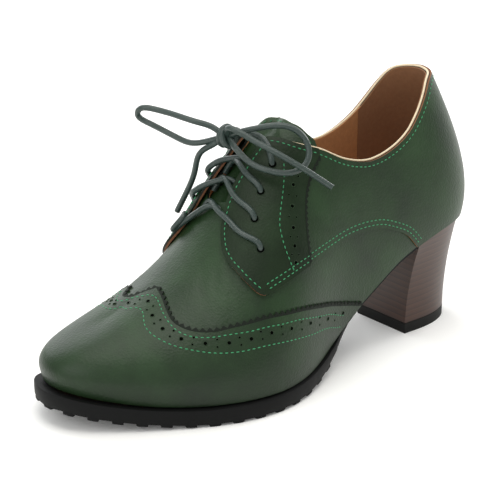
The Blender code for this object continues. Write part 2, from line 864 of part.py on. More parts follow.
def smooth_route(points, spacing):
    """Points at even steps along a smooth curve through the route's own points."""
    points = np.asarray(points, float)
    steps = np.linalg.norm(np.diff(points, axis=0), axis=1)
    knots = np.append(0.0, np.cumsum(steps))
    lines = [natural_curve(knots, points[:, axis]) for axis in range(3)]
    count = max(2, int(round(knots[-1] / spacing)))
    places = np.linspace(0, knots[-1], count + 1)
    return np.stack([line(places)[0] for line in lines], -1)


def tube_mesh(name, points, diameter):
    """The same cord as a closed mesh, for joining."""
    curve = tube_curve(name + "_curve", points, diameter)
    carrier = bpy.data.objects.new(name + "_curve", curve)
    bpy.context.scene.collection.objects.link(carrier)
    bpy.context.view_layer.update()
    mesh = bpy.data.meshes.new_from_object(carrier.evaluated_get(bpy.context.evaluated_depsgraph_get()))
    bpy.data.objects.remove(carrier, do_unlink=True)
    work = bmesh.new()
    work.from_mesh(mesh)
    bmesh.ops.remove_doubles(work, verts=work.verts, dist=1e-6)
    bmesh.ops.recalc_face_normals(work, faces=work.faces)
    work.to_mesh(mesh)
    work.free()
    mesh.materials.clear()
    return mesh


def lace_bar(side, level):
    """One lace from its hole, over its own facing's edge and down beside the other's."""
    hole = hole_table[level]
    middle = hole.cross
    edge = facing_line(middle)
    sink = tongue_offset + tongue_gap + lace_diameter / 2 + 2 * lace_clearance
    route = [skin(side, hole.along, hole.down, lace_rise),
             skin(side, (hole.along + middle) / 2, (hole.down + edge) / 2, lace_rise),
             skin(side, middle, edge, lace_rise + 0.2 * mm),
             skin(side, middle, 0.0, lace_rise - 1.2 * mm),
             skin(-side, middle, edge * 0.45, sink)]
    return smooth_route(route, bar_step * lace_diameter)


def build_crossing(level):
    name = f"lace_crossing_{level + 1}"
    item = add_object(name, tube_mesh(name, lace_bar(1, level), lace_diameter), "4B5B58", 0.7)
    other = add_cutter(name + "_other", tube_mesh(name + "_other", lace_bar(-1, level), lace_diameter))
    cut(item, other, "UNION")
    return item


def knot_face(direction, further=0.0):
    """The point in this direction from the knot's centre that lies just off its surface, or further out."""
    ahead = np.array(direction, float) / np.linalg.norm(direction)
    reach = 1 / np.linalg.norm(ahead / (np.array(knot_size) / 2))
    return np.array(knot_centre) + ahead * (reach + knot_gap + further)


def build_top_bars():
    """The two ends of the lace, from the highest holes to the back of the knot."""
    name = "lace_top_bars"
    hole = hole_table[-1]
    bars = []
    for side in (1, -1):
        edge = facing_line(hole.along)
        join = knot_face((-1, side * 0.1, 0.1))
        route = [skin(side, hole.along, hole.down, lace_rise + 2 * lace_clearance),
                 skin(side, hole.along, edge, lace_rise + 2 * lace_clearance),
                 join + np.array([-1.1, side * 0.8, 0.2]) * lace_diameter,
                 join]
        bars.append(tube_mesh(f"{name}_{side}", smooth_route(route, bar_step * lace_diameter), lace_diameter))
    item = add_object(name, bars[0], "4B5B58", 0.7)
    cut(item, add_cutter(name + "_other", bars[1]), "UNION")


def build_knot():
    work = bmesh.new()
    bmesh.ops.create_icosphere(work, subdivisions=2, radius=0.5)
    bmesh.ops.scale(work, vec=Vector(knot_size), verts=work.verts)
    bmesh.ops.translate(work, vec=Vector(knot_centre), verts=work.verts)
    mesh = bpy.data.meshes.new("lace_knot")
    work.to_mesh(mesh)
    work.free()
    add_object("lace_knot", mesh, "4B5B58", 0.7)


def build_bow_cord(name, route, is_loop):
    """A loop or a loose end of the bow, as a cord that leaves the knot square to its face."""
    points = [np.array(knot_centre) + np.array(step) * mm for step in route[1:]]
    points = [knot_face(route[0]), knot_face(route[0], cord_start)] + points
    if is_loop:
        points = points[:-1] + [knot_face(route[-1], cord_start), knot_face(route[-1])]
    add_object(name, tube_curve(name, smooth_route(points, cord_step * lace_diameter), lace_diameter), "4B5B58", 0.7)


def centre_over_origin():
    """Move everything so that the middle of the shoe, without its bow, stands over the frame's origin."""
    bpy.context.view_layer.update()
    graph = bpy.context.evaluated_depsgraph_get()
    solid = [item for item in parts.objects if item.type == "MESH"]
    corners = np.array([corner for item in solid for corner in item.evaluated_get(graph).bound_box])
    middle = (corners.min(axis=0) + corners.max(axis=0)) / 2
    for item in [*parts.objects, *cutters.objects]:
        item.location = (-middle[0], -middle[1], 0.0)


clear_scene()
parts = new_collection(collection_name)
cutters = new_collection("cutters")

upper = build_upper()
outer_holes = build_hole_cutter(1)
inner_holes = build_hole_cutter(-1)
cut(upper, outer_holes)
cut(upper, inner_holes)
for side, word, holes in ((1, "lateral", outer_holes), (-1, "medial", inner_holes)):
    cut(build_quarter(side, "quarter_" + word), holes)
    cut(build_eyestay(side, "eyestay_" + word), holes)
build_wing_cap()
build_tongue()
build_insole()
build_outsole()
build_heel()
build_heel_tip()
for level in range(3):
    build_crossing(level)
build_top_bars()
build_knot()
build_bow_cord("lace_loop_left", left_loop, True)
build_bow_cord("lace_loop_right", right_loop, True)
build_bow_cord("lace_end_left", left_end, False)
build_bow_cord("lace_end_right", right_end, False)
centre_over_origin()
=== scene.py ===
import math

import bmesh
import bpy
import numpy as np
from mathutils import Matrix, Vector
from mathutils.geometry import delaunay_2d_cdt


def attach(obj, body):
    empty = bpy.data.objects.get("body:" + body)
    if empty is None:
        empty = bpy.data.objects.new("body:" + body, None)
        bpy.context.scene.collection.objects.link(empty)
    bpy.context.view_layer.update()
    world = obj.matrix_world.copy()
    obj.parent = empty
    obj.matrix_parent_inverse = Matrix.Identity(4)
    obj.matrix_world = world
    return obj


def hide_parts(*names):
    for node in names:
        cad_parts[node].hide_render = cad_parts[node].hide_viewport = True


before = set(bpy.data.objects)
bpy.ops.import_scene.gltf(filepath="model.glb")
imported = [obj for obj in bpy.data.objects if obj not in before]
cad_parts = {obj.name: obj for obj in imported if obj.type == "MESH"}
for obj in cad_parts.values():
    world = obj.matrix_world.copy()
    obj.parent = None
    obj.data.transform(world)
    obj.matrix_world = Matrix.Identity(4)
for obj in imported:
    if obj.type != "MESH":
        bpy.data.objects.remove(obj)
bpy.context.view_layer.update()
mm = 0.001
creaseAngle = math.radians(50)
print("frame loaded")

# Camera and light

view = {
    "target": (-0.00962, -0.03132, 0.04985),
    "turn": 51.54,          # degrees from the toe's direction toward the outer side
    "rise": 20.0,
    "distance": 0.95,
    "lens": 134.6,
}


def placeCamera():
    turn, rise = math.radians(view["turn"]), math.radians(view["rise"])
    back = Vector((math.cos(rise) * math.cos(turn), math.cos(rise) * math.sin(turn), math.sin(rise)))
    camera = bpy.data.objects.new("camera", bpy.data.cameras.new("camera"))
    camera.location = Vector(view["target"]) + back * view["distance"]
    camera.rotation_euler = back.to_track_quat("Z", "Y").to_euler()
    camera.data.lens = view["lens"]
    camera.data.sensor_width = 36
    camera.data.clip_start = 0.01
    bpy.context.scene.collection.objects.link(camera)
    bpy.context.scene.camera = camera


studio = {
    "lights": {             # where each stands in the frame, its size, power and colour
        "top softbox": ((0.05, 0.10, 0.95), 0.9, 5.2, "FFFDF8"),
        "toe softbox": ((0.90, 0.15, 0.55), 0.7, 2.6, "FFFFFF"),
        "far softbox": ((-0.05, -0.95, 0.62), 1.1, 6.5, "FBFDFF"),
        "heel softbox": ((-1.00, -0.15, 0.45), 0.6, 5.0, "FFFFFF"),
        "near fill": ((0.35, 0.95, 0.35), 0.9, 0.6, "FFFFFF"),
    },
    "aim": (0, 0, 0.05),
    "surround": 0.50,
    "floor": "FFFFFD", "floorGlow": 0.06, "floorReach": 6,
}


def linear(hexColour):
    parts = [int(hexColour[i:i + 2], 16) / 255 for i in (0, 2, 4)]
    return [c / 12.92 if c <= 0.04045 else ((c + 0.055) / 1.055) ** 2.4 for c in parts] + [1.0]


def placeLights():
    for name, (place, size, power, colour) in studio["lights"].items():
        light = bpy.data.lights.new(name, "AREA")
        light.shape = "DISK"
        light.size = size
        light.energy = power
        light.color = linear(colour)[:3]
        lamp = bpy.data.objects.new(name, light)
        lamp.location = place
        lamp.rotation_euler = (Vector(place) - Vector(studio["aim"])).to_track_quat("Z", "Y").to_euler()
        bpy.context.scene.collection.objects.link(lamp)
    world = bpy.data.worlds.new("studio")
    world.use_nodes = True
    world.node_tree.nodes["Background"].inputs["Color"].default_value = (1, 1, 1, 1)
    world.node_tree.nodes["Background"].inputs["Strength"].default_value = studio["surround"]
    bpy.context.scene.world = world
    bpy.context.scene.view_settings.view_transform = "Standard"


placeCamera()
placeLights()
print("camera and lights placed")

# The last that every piece is laid on

lastSize = {
    "length": 0.250, "ballWidth": 0.088, "heelLift": 0.0575, "instepHeight": 0.119,
    "soleHeight": 0.009, "toeSpring": 0.0085,
    "origin": np.array([-0.12462, -0.00706, 0.0]),      # where the back seam's foot stands in the frame
    "ridgeStart": 0.52,
}
featherRows = np.array([            # share of length, share of heel lift, share of toe spring
    (0.000, 1.000, 0.00), (0.100, 1.000, 0.00), (0.184, 0.887, 0.00), (0.240, 0.763, 0.00),
    (0.288, 0.598, 0.00), (0.336, 0.423, 0.00), (0.384, 0.258, 0.00), (0.424, 0.144, 0.00),
    (0.472, 0.062, 0.00), (0.528, 0.020, 0.00), (0.632, 0.000, 0.00), (0.768, 0.000, 0.00),
    (0.868, 0.000, 0.24), (0.948, 0.000, 0.65), (1.000, 0.000, 1.00)])
ridgeRows = np.array([              # share of length, share of instep height
    (0.104, 1.209), (0.240, 1.227), (0.320, 1.209), (0.392, 1.164), (0.448, 1.091), (0.500, 1.000),
    (0.540, 0.909), (0.588, 0.791), (0.624, 0.682), (0.664, 0.577), (0.704, 0.500), (0.748, 0.432),
    (0.800, 0.377), (0.856, 0.332)])
ribRows = np.array([                # x, outer, inner, topX, topMid, topHalf, outLow, upLow, outTop, downTop
    (0.000, 0.000, 0.000, 0.104, 0.000, 0.000, 0.102, 0.284, 0.159, 0.308),
    (0.028, 0.176, 0.176, 0.116, 0.000, 0.097, 0.091, 0.284, 0.136, 0.308),
    (0.088, 0.284, 0.278, 0.152, 0.000, 0.153, 0.068, 0.284, 0.102, 0.330),
    (0.180, 0.318, 0.290, 0.216, 0.000, 0.170, 0.068, 0.310, 0.068, 0.330),
    (0.280, 0.318, 0.256, 0.304, 0.000, 0.148, 0.068, 0.350, 0.091, 0.250),
    (0.400, 0.335, 0.233, 0.388, -0.017, 0.080, 0.091, 0.340, 0.182, 0.100),
    (0.520, 0.489, 0.284, 0.472, -0.040, 0.000, 0.068, 0.300, 0.273, 0.017),
    (0.628, 0.580, 0.375, 0.548, -0.051, 0.000, 0.045, 0.290, 0.307, 0.000),
    (0.724, 0.551, 0.420, 0.640, -0.051, 0.000, 0.045, 0.365, 0.307, 0.000),
    (0.828, 0.420, 0.403, 0.728, -0.051, 0.000, 0.057, 0.460, 0.284, 0.000),
    (0.928, 0.244, 0.330, 0.808, -0.057, 0.000, 0.068, 0.575, 0.261, 0.000),
    (0.984, 0.091, 0.216, 0.852, -0.057, 0.000, 0.057, 0.680, 0.250, 0.000),
    (1.000, -0.057, 0.057, 0.864, -0.057, 0.000, 0.057, 0.690, 0.239, 0.000)])


def naturalCurve(knots, values):
    knots, values = np.asarray(knots, float), np.asarray(values, float)
    step, count = np.diff(knots), len(knots)
    system, right = np.eye(count), np.zeros(count)
    for i in range(1, count - 1):
        system[i, i - 1:i + 2] = step[i - 1], 2 * (step[i - 1] + step[i]), step[i]
        right[i] = 6 * ((values[i + 1] - values[i]) / step[i] - (values[i] - values[i - 1]) / step[i - 1])
    bend = np.linalg.solve(system, right)

    def evaluate(place):
        place = np.asarray(place, float)
        inside = np.clip(place, knots[0], knots[-1])
        i = np.clip(np.searchsorted(knots, inside, side="right") - 1, 0, count - 2)
        d = step[i]
        a, b = inside - knots[i], knots[i + 1] - inside
        low, high = values[i] / d - bend[i] * d / 6, values[i + 1] / d - bend[i + 1] * d / 6
        value = (bend[i] * b ** 3 + bend[i + 1] * a ** 3) / (6 * d) + low * b + high * a
        slope = (bend[i + 1] * a ** 2 - bend[i] * b ** 2) / (2 * d) - low + high
        return value + (place - inside) * slope, slope

    return evaluate


def closedCurve(knots, values, total):
    count = len(knots)
    step = np.diff(np.append(knots, total))
    system, right = np.zeros((count, count)), np.zeros((count, values.shape[1]))
    for i in range(count):
        after = (i + 1) % count
        system[i, i - 1] += step[i - 1]
        system[i, i] += 2 * (step[i - 1] + step[i])
        system[i, after] += step[i]
        right[i] = 6 * ((values[after] - values[i]) / step[i] - (values[i] - values[i - 1]) / step[i - 1])
    bend = np.linalg.solve(system, right)

    def evaluate(place):
        place = np.mod(np.asarray(place, float), total)
        i = np.clip(np.searchsorted(knots, place, side="right") - 1, 0, count - 1)
        j = (i + 1) % count
        d = step[i][..., None]
        a = (place - knots[i])[..., None]
        b = d - a
        low, high = values[i] / d - bend[i] * d / 6, values[j] / d - bend[j] * d / 6
        return (bend[i] * b ** 3 + bend[j] * a ** 3) / (6 * d) + low * b + high * a

    return evaluate


def steadyCurve(places, values):
    places, values = np.asarray(places, float), np.asarray(values, float)
    slopes = np.gradient(values, places)
    steep = np.diff(values) / np.diff(places)
    slopes[1:-1] = np.where(steep[:-1] * steep[1:] > 0, slopes[1:-1], 0.0)
    limit = 3 * np.minimum(np.abs(np.append(steep[0], steep)), np.abs(np.append(steep, steep[-1])))
    slopes = np.clip(slopes, -limit, limit)

    def evaluate(place):
        i = np.clip(np.searchsorted(places, place, side="right") - 1, 0, len(places) - 2)
        d = places[i + 1] - places[i]
        t = np.clip((place - places[i]) / d, 0.0, 1.0)
        return (values[i] * (1 + 2 * t) * (1 - t) ** 2 + values[i + 1] * t * t * (3 - 2 * t)
                + d * slopes[i] * t * (1 - t) ** 2 - d * slopes[i + 1] * t * t * (1 - t))

    return evaluate


featherHeel = naturalCurve(featherRows[:, 0], featherRows[:, 1])
featherToe = naturalCurve(featherRows[:, 0], featherRows[:, 2])
ridgeRise = naturalCurve(ridgeRows[:, 0], ridgeRows[:, 1])


def featherHeight(x):
    share = np.asarray(x) / lastSize["length"]
    lift = np.maximum(featherHeel(share)[0], 0.0) * (lastSize["heelLift"] - lastSize["soleHeight"])
    spring = np.maximum(featherToe(share)[0], 0.0) * lastSize["toeSpring"]
    return lastSize["soleHeight"] + np.where(share < 0.632, lift, 0.0) + np.where(share > 0.632, spring, 0.0)


def ridgeHeight(x):
    rise = lastSize["instepHeight"] - lastSize["soleHeight"]
    return lastSize["soleHeight"] + ridgeRise(np.asarray(x) / lastSize["length"])[0] * rise


def ridgeSlope(x):
    rise = lastSize["instepHeight"] - lastSize["soleHeight"]
    return ridgeRise(np.asarray(x) / lastSize["length"])[1] * rise / lastSize["length"]


def ribSizes(row, side):
    x, outer, inner, topX, topMid, _, outLow, upLow, outTop, downTop = row
    length, width = lastSize["length"], lastSize["ballWidth"]
    rise = float(ridgeHeight(topX * length) - featherHeight(x * length))
    return (x * length, (outer if side > 0 else -inner) * width, topX * length, topMid * width,
            outLow * width, upLow * rise, outTop * width, downTop * rise)


outerRibs = np.array([ribSizes(row, 1) for row in ribRows])
innerRibs = np.array([ribSizes(row, -1) for row in ribRows[-2:0:-1]])
ribSteps = np.linalg.norm(np.diff(outerRibs[:, :2], axis=0), axis=1)
halfOutline = float(ribSteps.sum())
ribPlaces = np.append(0.0, np.cumsum(ribSteps) / halfOutline)
topHalfAt = steadyCurve(ribPlaces, ribRows[:, 5] * lastSize["ballWidth"])
ribAt = closedCurve(np.append(ribPlaces, 2 - ribPlaces[-2:0:-1]), np.vstack([outerRibs, innerRibs]), 2.0)


def placeRound(side, along):
    return along if side > 0 else 2 - along


def lastPoint(place, down):
    place, down = np.broadcast_arrays(np.asarray(place, float), np.asarray(down, float))
    footX, footY, topX, topMid, outLow, upLow, outTop, downTop = np.moveaxis(ribAt(place), -1, 0)
    side = np.where(np.mod(place, 2) < 1, 1, -1)
    topY = topMid + side * topHalfAt(1 - np.abs(1 - np.mod(place, 2)))
    foot = np.stack([footX, footY, featherHeight(footX)], -1)
    top = np.stack([topX, topY, ridgeHeight(topX)], -1)
    away = foot[..., :2] - top[..., :2]
    away = away / np.maximum(np.linalg.norm(away, axis=-1, keepdims=True), 1e-9)
    flat = np.concatenate([away, np.zeros_like(away[..., :1])], -1)
    follow = np.clip(1 - downTop / (0.08 * lastSize["instepHeight"]), 0, 1) * away[..., 0] * ridgeSlope(topX)
    crown = np.concatenate([away, follow[..., None]], -1)
    up = np.array([0.0, 0.0, 1.0])
    lowHandle = foot + flat * outLow[..., None] + up * upLow[..., None]
    topHandle = top + crown * outTop[..., None] - up * downTop[..., None]
    t = (1 - down)[..., None]
    return (foot * (1 - t) ** 3 + 3 * lowHandle * t * (1 - t) ** 2
            + 3 * topHandle * t * t * (1 - t) + top * t ** 3)


def lastNormal(place, down):
    place, down = np.broadcast_arrays(np.asarray(place, float), np.asarray(down, float))
    below = np.maximum(down, 0.02)
    around = lastPoint(place + 0.003, below) - lastPoint(place - 0.003, below)
    upward = lastPoint(place, np.clip(down - 0.004, 0, 1)) - lastPoint(place, np.clip(down + 0.004, 0, 1))
    normal = np.cross(upward, around)
    return normal / np.linalg.norm(normal, axis=-1, keepdims=True)


def skinNormal(side, along, down):
    place = placeRound(side, np.asarray(along, float))
    normal = lastNormal(place, down)
    other = lastNormal(placeRound(-side, np.asarray(along, float)), down)
    onRidge = ((np.asarray(down) < 1e-6) & (np.asarray(along) > lastSize["ridgeStart"]))[..., None]
    both = normal + np.where(onRidge, other, 0.0)
    return both / np.linalg.norm(both, axis=-1, keepdims=True)


def skin(side, along, down, offset=0.0):
    # a point of the shoe's skin in the frame, moved out from it by the offset
    along, down = np.broadcast_arrays(np.asarray(along, float), np.asarray(down, float))
    offset = np.broadcast_to(np.asarray(offset, float), along.shape)[..., None]
    return lastPoint(placeRound(side, along), down) + skinNormal(side, along, down) * offset + lastSize["origin"]


def softStep(value, start, end):
    t = np.clip((np.asarray(value, float) - start) / (end - start), 0, 1)
    return t * t * (3 - 2 * t)


# Materials

def addNode(tree, kind, settings=None, links=None):
    node = tree.nodes.new(kind)
    for key, value in (settings or {}).items():
        if key in node.inputs:
            node.inputs[key].default_value = value
        else:
            setattr(node, key, value)
    for key, source in (links or {}).items():
        tree.links.new(source, node.inputs[key])
    return node


def newMaterial(name, colour, roughness, **shader):
    made = bpy.data.materials.new(name)
    made.use_nodes = True
    made.diffuse_color = linear(colour)
    base = made.node_tree.nodes["Principled BSDF"]
    base.inputs["Base Color"].default_value = linear(colour)
    base.inputs["Roughness"].default_value = roughness
    for key, value in shader.items():
        base.inputs[key.replace("_", " ")].default_value = value
    return made, made.node_tree, base


leatherLook = {
    "mid": "1D3419", "dark": "172A15", "light": "264022",
    "grain": 900,           # cells per metre: real pores are near 0.5 mm, drawn at 1.1 mm so that they show
    "cloud": 38,            # clouds about 26 mm across
    "ripple": 260.0,        # soft ripples about 4 mm apart
    "roughLow": 0.36, "roughHigh": 0.50,
}


def burnishedLeather(name, mid, dark, light, index=1.38):
    # aniline-dyed calf, brushed and waxed: cloudy colour, fine pores, a broad soft shine
    made, tree, base = newMaterial(name, mid, 0.42, IOR=index, Coat_Weight=0.04, Coat_Roughness=0.25)
    where = addNode(tree, "ShaderNodeTexCoord").outputs["Object"]
    cloud = addNode(tree, "ShaderNodeTexNoise", {"Scale": leatherLook["cloud"], "Detail": 4.0, "Roughness": 0.6},
                    {"Vector": where})
    ramp = addNode(tree, "ShaderNodeValToRGB", links={"Fac": cloud.outputs["Fac"]})
    ramp.color_ramp.elements[0].position, ramp.color_ramp.elements[0].color = 0.28, linear(dark)
    ramp.color_ramp.elements[1].position, ramp.color_ramp.elements[1].color = 0.74, linear(light)
    middle = ramp.color_ramp.elements.new(0.5)
    middle.color = linear(mid)
    height = addNode(tree, "ShaderNodeSeparateXYZ", links={"Vector": where})
    # painted shade: the colour darkens towards the bottom, from full value 45 mm above the floor to 0.55 of it at 10 mm
    low = addNode(tree, "ShaderNodeMapRange", {"From Min": 0.010, "From Max": 0.045, "To Min": 0.55, "To Max": 1.0},
                  {"Value": height.outputs["Z"]})
    lowShade = addNode(tree, "ShaderNodeHueSaturation",
                   links={"Color": ramp.outputs["Color"], "Value": low.outputs["Result"]})
    tree.links.new(lowShade.outputs["Color"], base.inputs["Base Color"])
    rough = addNode(tree, "ShaderNodeMapRange", {"To Min": leatherLook["roughLow"], "To Max": leatherLook["roughHigh"]},
                    {"Value": cloud.outputs["Fac"]})
    tree.links.new(rough.outputs["Result"], base.inputs["Roughness"])
    pores = addNode(tree, "ShaderNodeTexVoronoi", {"Scale": leatherLook["grain"], "feature": "F1"}, {"Vector": where})
    ripple = addNode(tree, "ShaderNodeTexNoise", {"Scale": leatherLook["ripple"], "Detail": 3.0}, {"Vector": where})
    both = addNode(tree, "ShaderNodeMath", {"operation": "ADD"})
    tree.links.new(pores.outputs["Distance"], both.inputs[0])
    tree.links.new(ripple.outputs["Fac"], both.inputs[1])
    bump = addNode(tree, "ShaderNodeBump", {"Strength": 0.35, "Distance": 0.28 * mm}, {"Height": both.outputs[0]})
    tree.links.new(bump.outputs["Normal"], base.inputs["Normal"])
    return made


greenLeather = burnishedLeather("burnished green calf", leatherLook["mid"], leatherLook["dark"], leatherLook["light"])
# the same calf for the eyestays: its darker colours are painted shade, and it has a lower shine
shadedFacingLeather = burnishedLeather("green facing calf, painted shade", "1A2917", "142112", "21331E", 1.27)


def plainLeather(name, colour, roughness, scale, depth, **shader):
    # one even colour with a soft uneven tone; the scale is in cells per metre, so 500 gives grains of 2 mm
    made, tree, base = newMaterial(name, colour, roughness, IOR=1.48, **shader)
    where = addNode(tree, "ShaderNodeTexCoord").outputs["Object"]
    noise = addNode(tree, "ShaderNodeTexNoise", {"Scale": scale, "Detail": 5.0}, {"Vector": where})
    tint = addNode(tree, "ShaderNodeHueSaturation", {"Color": linear(colour)})
    value = addNode(tree, "ShaderNodeMapRange", {"To Min": 0.82, "To Max": 1.18}, {"Value": noise.outputs["Fac"]})
    tree.links.new(value.outputs["Result"], tint.inputs["Value"])
    tree.links.new(tint.outputs["Color"], base.inputs["Base Color"])
    bump = addNode(tree, "ShaderNodeBump", {"Strength": 0.4, "Distance": depth}, {"Height": noise.outputs["Fac"]})
    tree.links.new(bump.outputs["Normal"], base.inputs["Normal"])
    return made


# cut edge of undyed calf: warm brown, fibrous, without shine
rawEdge = plainLeather("cut leather edge", "7A5136", 0.8, 700.0, 0.0002)
# painted shadow under and past the pinked teeth: almost black, with hardly a shine
pinkedShadow = plainLeather("painted shadow at pinked edge", "10190F", 0.7, 700.0, 0.0002, Specular_IOR_Level=0.25)
# an edge inked after it is cut: green-black and a little rough
darkEdge = plainLeather("inked leather edge", "1B211A", 0.6, 700.0, 0.0002)
# undyed pigskin, lightly glazed: tan, uneven in tone, a low shine
pigLining = plainLeather("tan lining pigskin", "BA865A", 0.62, 420.0, 0.00025)
# split suede, its flesh side out: brown and dull
heelLining = plainLeather("brown heel lining suede", "8E6546", 0.85, 500.0, 0.0003)
# folded sheepskin binding: pale cream and smooth
creamBinding = plainLeather("cream edge binding", "E3D2B2", 0.55, 600.0, 0.0001)
# moulded rubber: matt black with only a faint sheen, the heel's top piece a shade lighter
blackRubber = plainLeather("moulded black rubber", "0A0B0B", 0.6, 350.0, 0.00012, Specular_IOR_Level=0.18)
tipRubber = plainLeather("moulded heel tip rubber", "121210", 0.6, 350.0, 0.00012, Specular_IOR_Level=0.2)
# painted shade in a punched hole: a black disc without shine at its bottom
holeShade = plainLeather("painted shade in punched hole", "050705", 1.0, 500.0, 0.00005, Specular_IOR_Level=0.0)
# waxed polyester thread: a low shine, bright green on the uppers and darker on the tongue
sewingThread = plainLeather("waxed green sewing thread", "35905F", 0.5, 900.0, 0.0001)
darkThread = plainLeather("waxed dark green thread", "2C6E48", 0.5, 900.0, 0.0001)


def stackedLeather():
    # layers of sole leather glued and stained: fine level lines, end grain flecks, a waxed surface
    made, tree, base = newMaterial("stacked stained leather", "3F2A1E", 0.42, IOR=1.42, Coat_Weight=0.08,
                                   Coat_Roughness=0.3)
    where = addNode(tree, "ShaderNodeTexCoord").outputs["Object"]
    split = addNode(tree, "ShaderNodeSeparateXYZ", links={"Vector": where})
    wander = addNode(tree, "ShaderNodeTexNoise", {"Scale": 30.0, "Detail": 2.0}, {"Vector": where})
    lift = addNode(tree, "ShaderNodeMath", {"operation": "MULTIPLY_ADD"})
    lift.inputs[1].default_value = 0.0012
    tree.links.new(wander.outputs["Fac"], lift.inputs[0])
    tree.links.new(split.outputs["Z"], lift.inputs[2])
    lifts = addNode(tree, "ShaderNodeMath", {"operation": "MULTIPLY"})
    lifts.inputs[1].default_value = 1 / 0.0033      # one lift of the stack is 3.3 mm
    tree.links.new(lift.outputs[0], lifts.inputs[0])
    within = addNode(tree, "ShaderNodeMath", {"operation": "FRACT"})
    tree.links.new(lifts.outputs[0], within.inputs[0])
    line = addNode(tree, "ShaderNodeValToRGB", links={"Fac": within.outputs[0]})
    line.color_ramp.elements[0].position, line.color_ramp.elements[0].color = 0.0, linear("22140D")
    line.color_ramp.elements[1].position, line.color_ramp.elements[1].color = 1.0, linear("44291B")
    stain = line.color_ramp.elements.new(0.14)
    stain.color = linear("371F14")
    # flecks of end grain about 11 mm long and 1.1 mm high
    flat = addNode(tree, "ShaderNodeMapping", {"Scale": (90.0, 90.0, 900.0)}, {"Vector": where})
    fleck = addNode(tree, "ShaderNodeTexNoise", {"Scale": 1.0, "Detail": 4.0}, {"Vector": flat.outputs["Vector"]})
    value = addNode(tree, "ShaderNodeMapRange", {"To Min": 0.7, "To Max": 1.35}, {"Value": fleck.outputs["Fac"]})
    tint = addNode(tree, "ShaderNodeHueSaturation",
                   links={"Color": line.outputs["Color"], "Value": value.outputs["Result"]})
    tree.links.new(tint.outputs["Color"], base.inputs["Base Color"])
    bump = addNode(tree, "ShaderNodeBump", {"Strength": 0.4, "Distance": 0.2 * mm}, {"Height": fleck.outputs["Fac"]})
    tree.links.new(bump.outputs["Normal"], base.inputs["Normal"])
    return made


heelStack = stackedLeather()


def waxedCord():
    # tightly braided cotton, waxed: slate green with a narrow shine along it
    made, tree, base = newMaterial("waxed braided cord", "36453F", 0.36, IOR=1.5, Coat_Weight=0.15, Coat_Roughness=0.3)
    where = addNode(tree, "ShaderNodeTexCoord").outputs["Object"]
    braid = addNode(tree, "ShaderNodeTexVoronoi", {"Scale": 1300.0}, {"Vector": where})      # plaits of 0.8 mm
    # painted shade: the colour darkens from the middle of each plait to the grooves between them
    value = addNode(tree, "ShaderNodeMapRange", {"To Min": 1.15, "To Max": 0.75}, {"Value": braid.outputs["Distance"]})
    tint = addNode(tree, "ShaderNodeHueSaturation", {"Color": linear("2F3E39")}, {"Value": value.outputs["Result"]})
    tree.links.new(tint.outputs["Color"], base.inputs["Base Color"])
    bump = addNode(tree, "ShaderNodeBump", {"Strength": 0.5, "Distance": 0.2 * mm},
                   {"Height": braid.outputs["Distance"]})
    tree.links.new(bump.outputs["Normal"], base.inputs["Normal"])
    return made


cordMaterial = waxedCord()


def floorMaterial():
    # a matt paper sweep, almost white, with a faint glow that keeps it even
    made, _, base = newMaterial("pale paper sweep", studio["floor"], 0.9)
    base.inputs["Specular IOR Level"].default_value = 0.1
    base.inputs["Emission Color"].default_value = linear(studio["floor"])
    base.inputs["Emission Strength"].default_value = studio["floorGlow"]
    return made


floorMesh = bpy.data.meshes.new("floor")
reach = studio["floorReach"]
floorMesh.from_pydata([(-reach, -reach, 0), (reach, -reach, 0), (reach, reach, 0), (-reach, reach, 0)], [],
                      [(0, 1, 2, 3)])
floorMesh.materials.append(floorMaterial())
floor = bpy.data.objects.new("floor", floorMesh)
bpy.context.scene.collection.objects.link(floor)
print("materials made")

# Layers: how far each leather's outer face stands out of the last

layer = {
    "quarter": 1.2 * mm, "eyestay": 2.3 * mm, "wing": 1.0 * mm, "vampWall": 1.2 * mm,
    "quarterWall": 1.0 * mm, "eyestayWall": 1.0 * mm, "wingWall": 0.9 * mm,
    "liningTop": -1.2 * mm, "liningWall": 0.4 * mm, "tongue": -2.9 * mm, "tongueWall": 1.4 * mm,
    "nearLift": 0.6 * mm, "farLift": 1.8 * mm, "proud": 0.05 * mm,
}
collarLine = steadyCurve([0.000, 0.050, 0.104, 0.136, 0.174, 0.206, 0.240, 0.300, 0.365, 0.422, 0.478, 0.535],
                         [0.075, 0.088, 0.125, 0.190, 0.280, 0.350, 0.400, 0.430, 0.390, 0.310, 0.225, 0.095])
facingLine = steadyCurve([0.535, 0.580, 0.612, 0.640, 0.654, 0.664, 0.667],
                         [0.095, 0.085, 0.095, 0.120, 0.155, 0.210, 0.250])
throatLine = steadyCurve([0.535, 0.580, 0.612, 0.635, 0.650, 0.658],
                         [0.250, 0.210, 0.170, 0.120, 0.060, 0.000])
laceHoles = [(0.610, 0.420), (0.608, 0.310), (0.584, 0.250), (0.545, 0.215)]
lace = {"diameter": 3.0 * mm, "hole": 1.75 * mm, "sides": 3, "step": 1.0 * mm}


def flapLift(side, along, down):
    # the open facings stand a little off the foot along their front edges
    edge = np.where(np.asarray(along) < 0.535, 0.095, facingLine(np.clip(along, 0.535, 0.667)))
    reach = 1 - softStep(down, edge, edge + 0.20)
    window = softStep(along, 0.50, 0.56) * (1 - softStep(along, 0.635, 0.665) * 0.8)
    return (layer["nearLift"] if side > 0 else layer["farLift"]) * reach * window


def quarterTop(side, along, down):
    return layer["quarter"] + flapLift(side, along, down)


def eyestayTop(side, along, down):
    return layer["eyestay"] + flapLift(side, along, down)


# stitches and rims lie a little proud of the leather under them

def quarterFace(side, along, down):
    return quarterTop(side, along, down) + layer["proud"]


def eyestayFace(side, along, down):
    return eyestayTop(side, along, down) + layer["proud"]


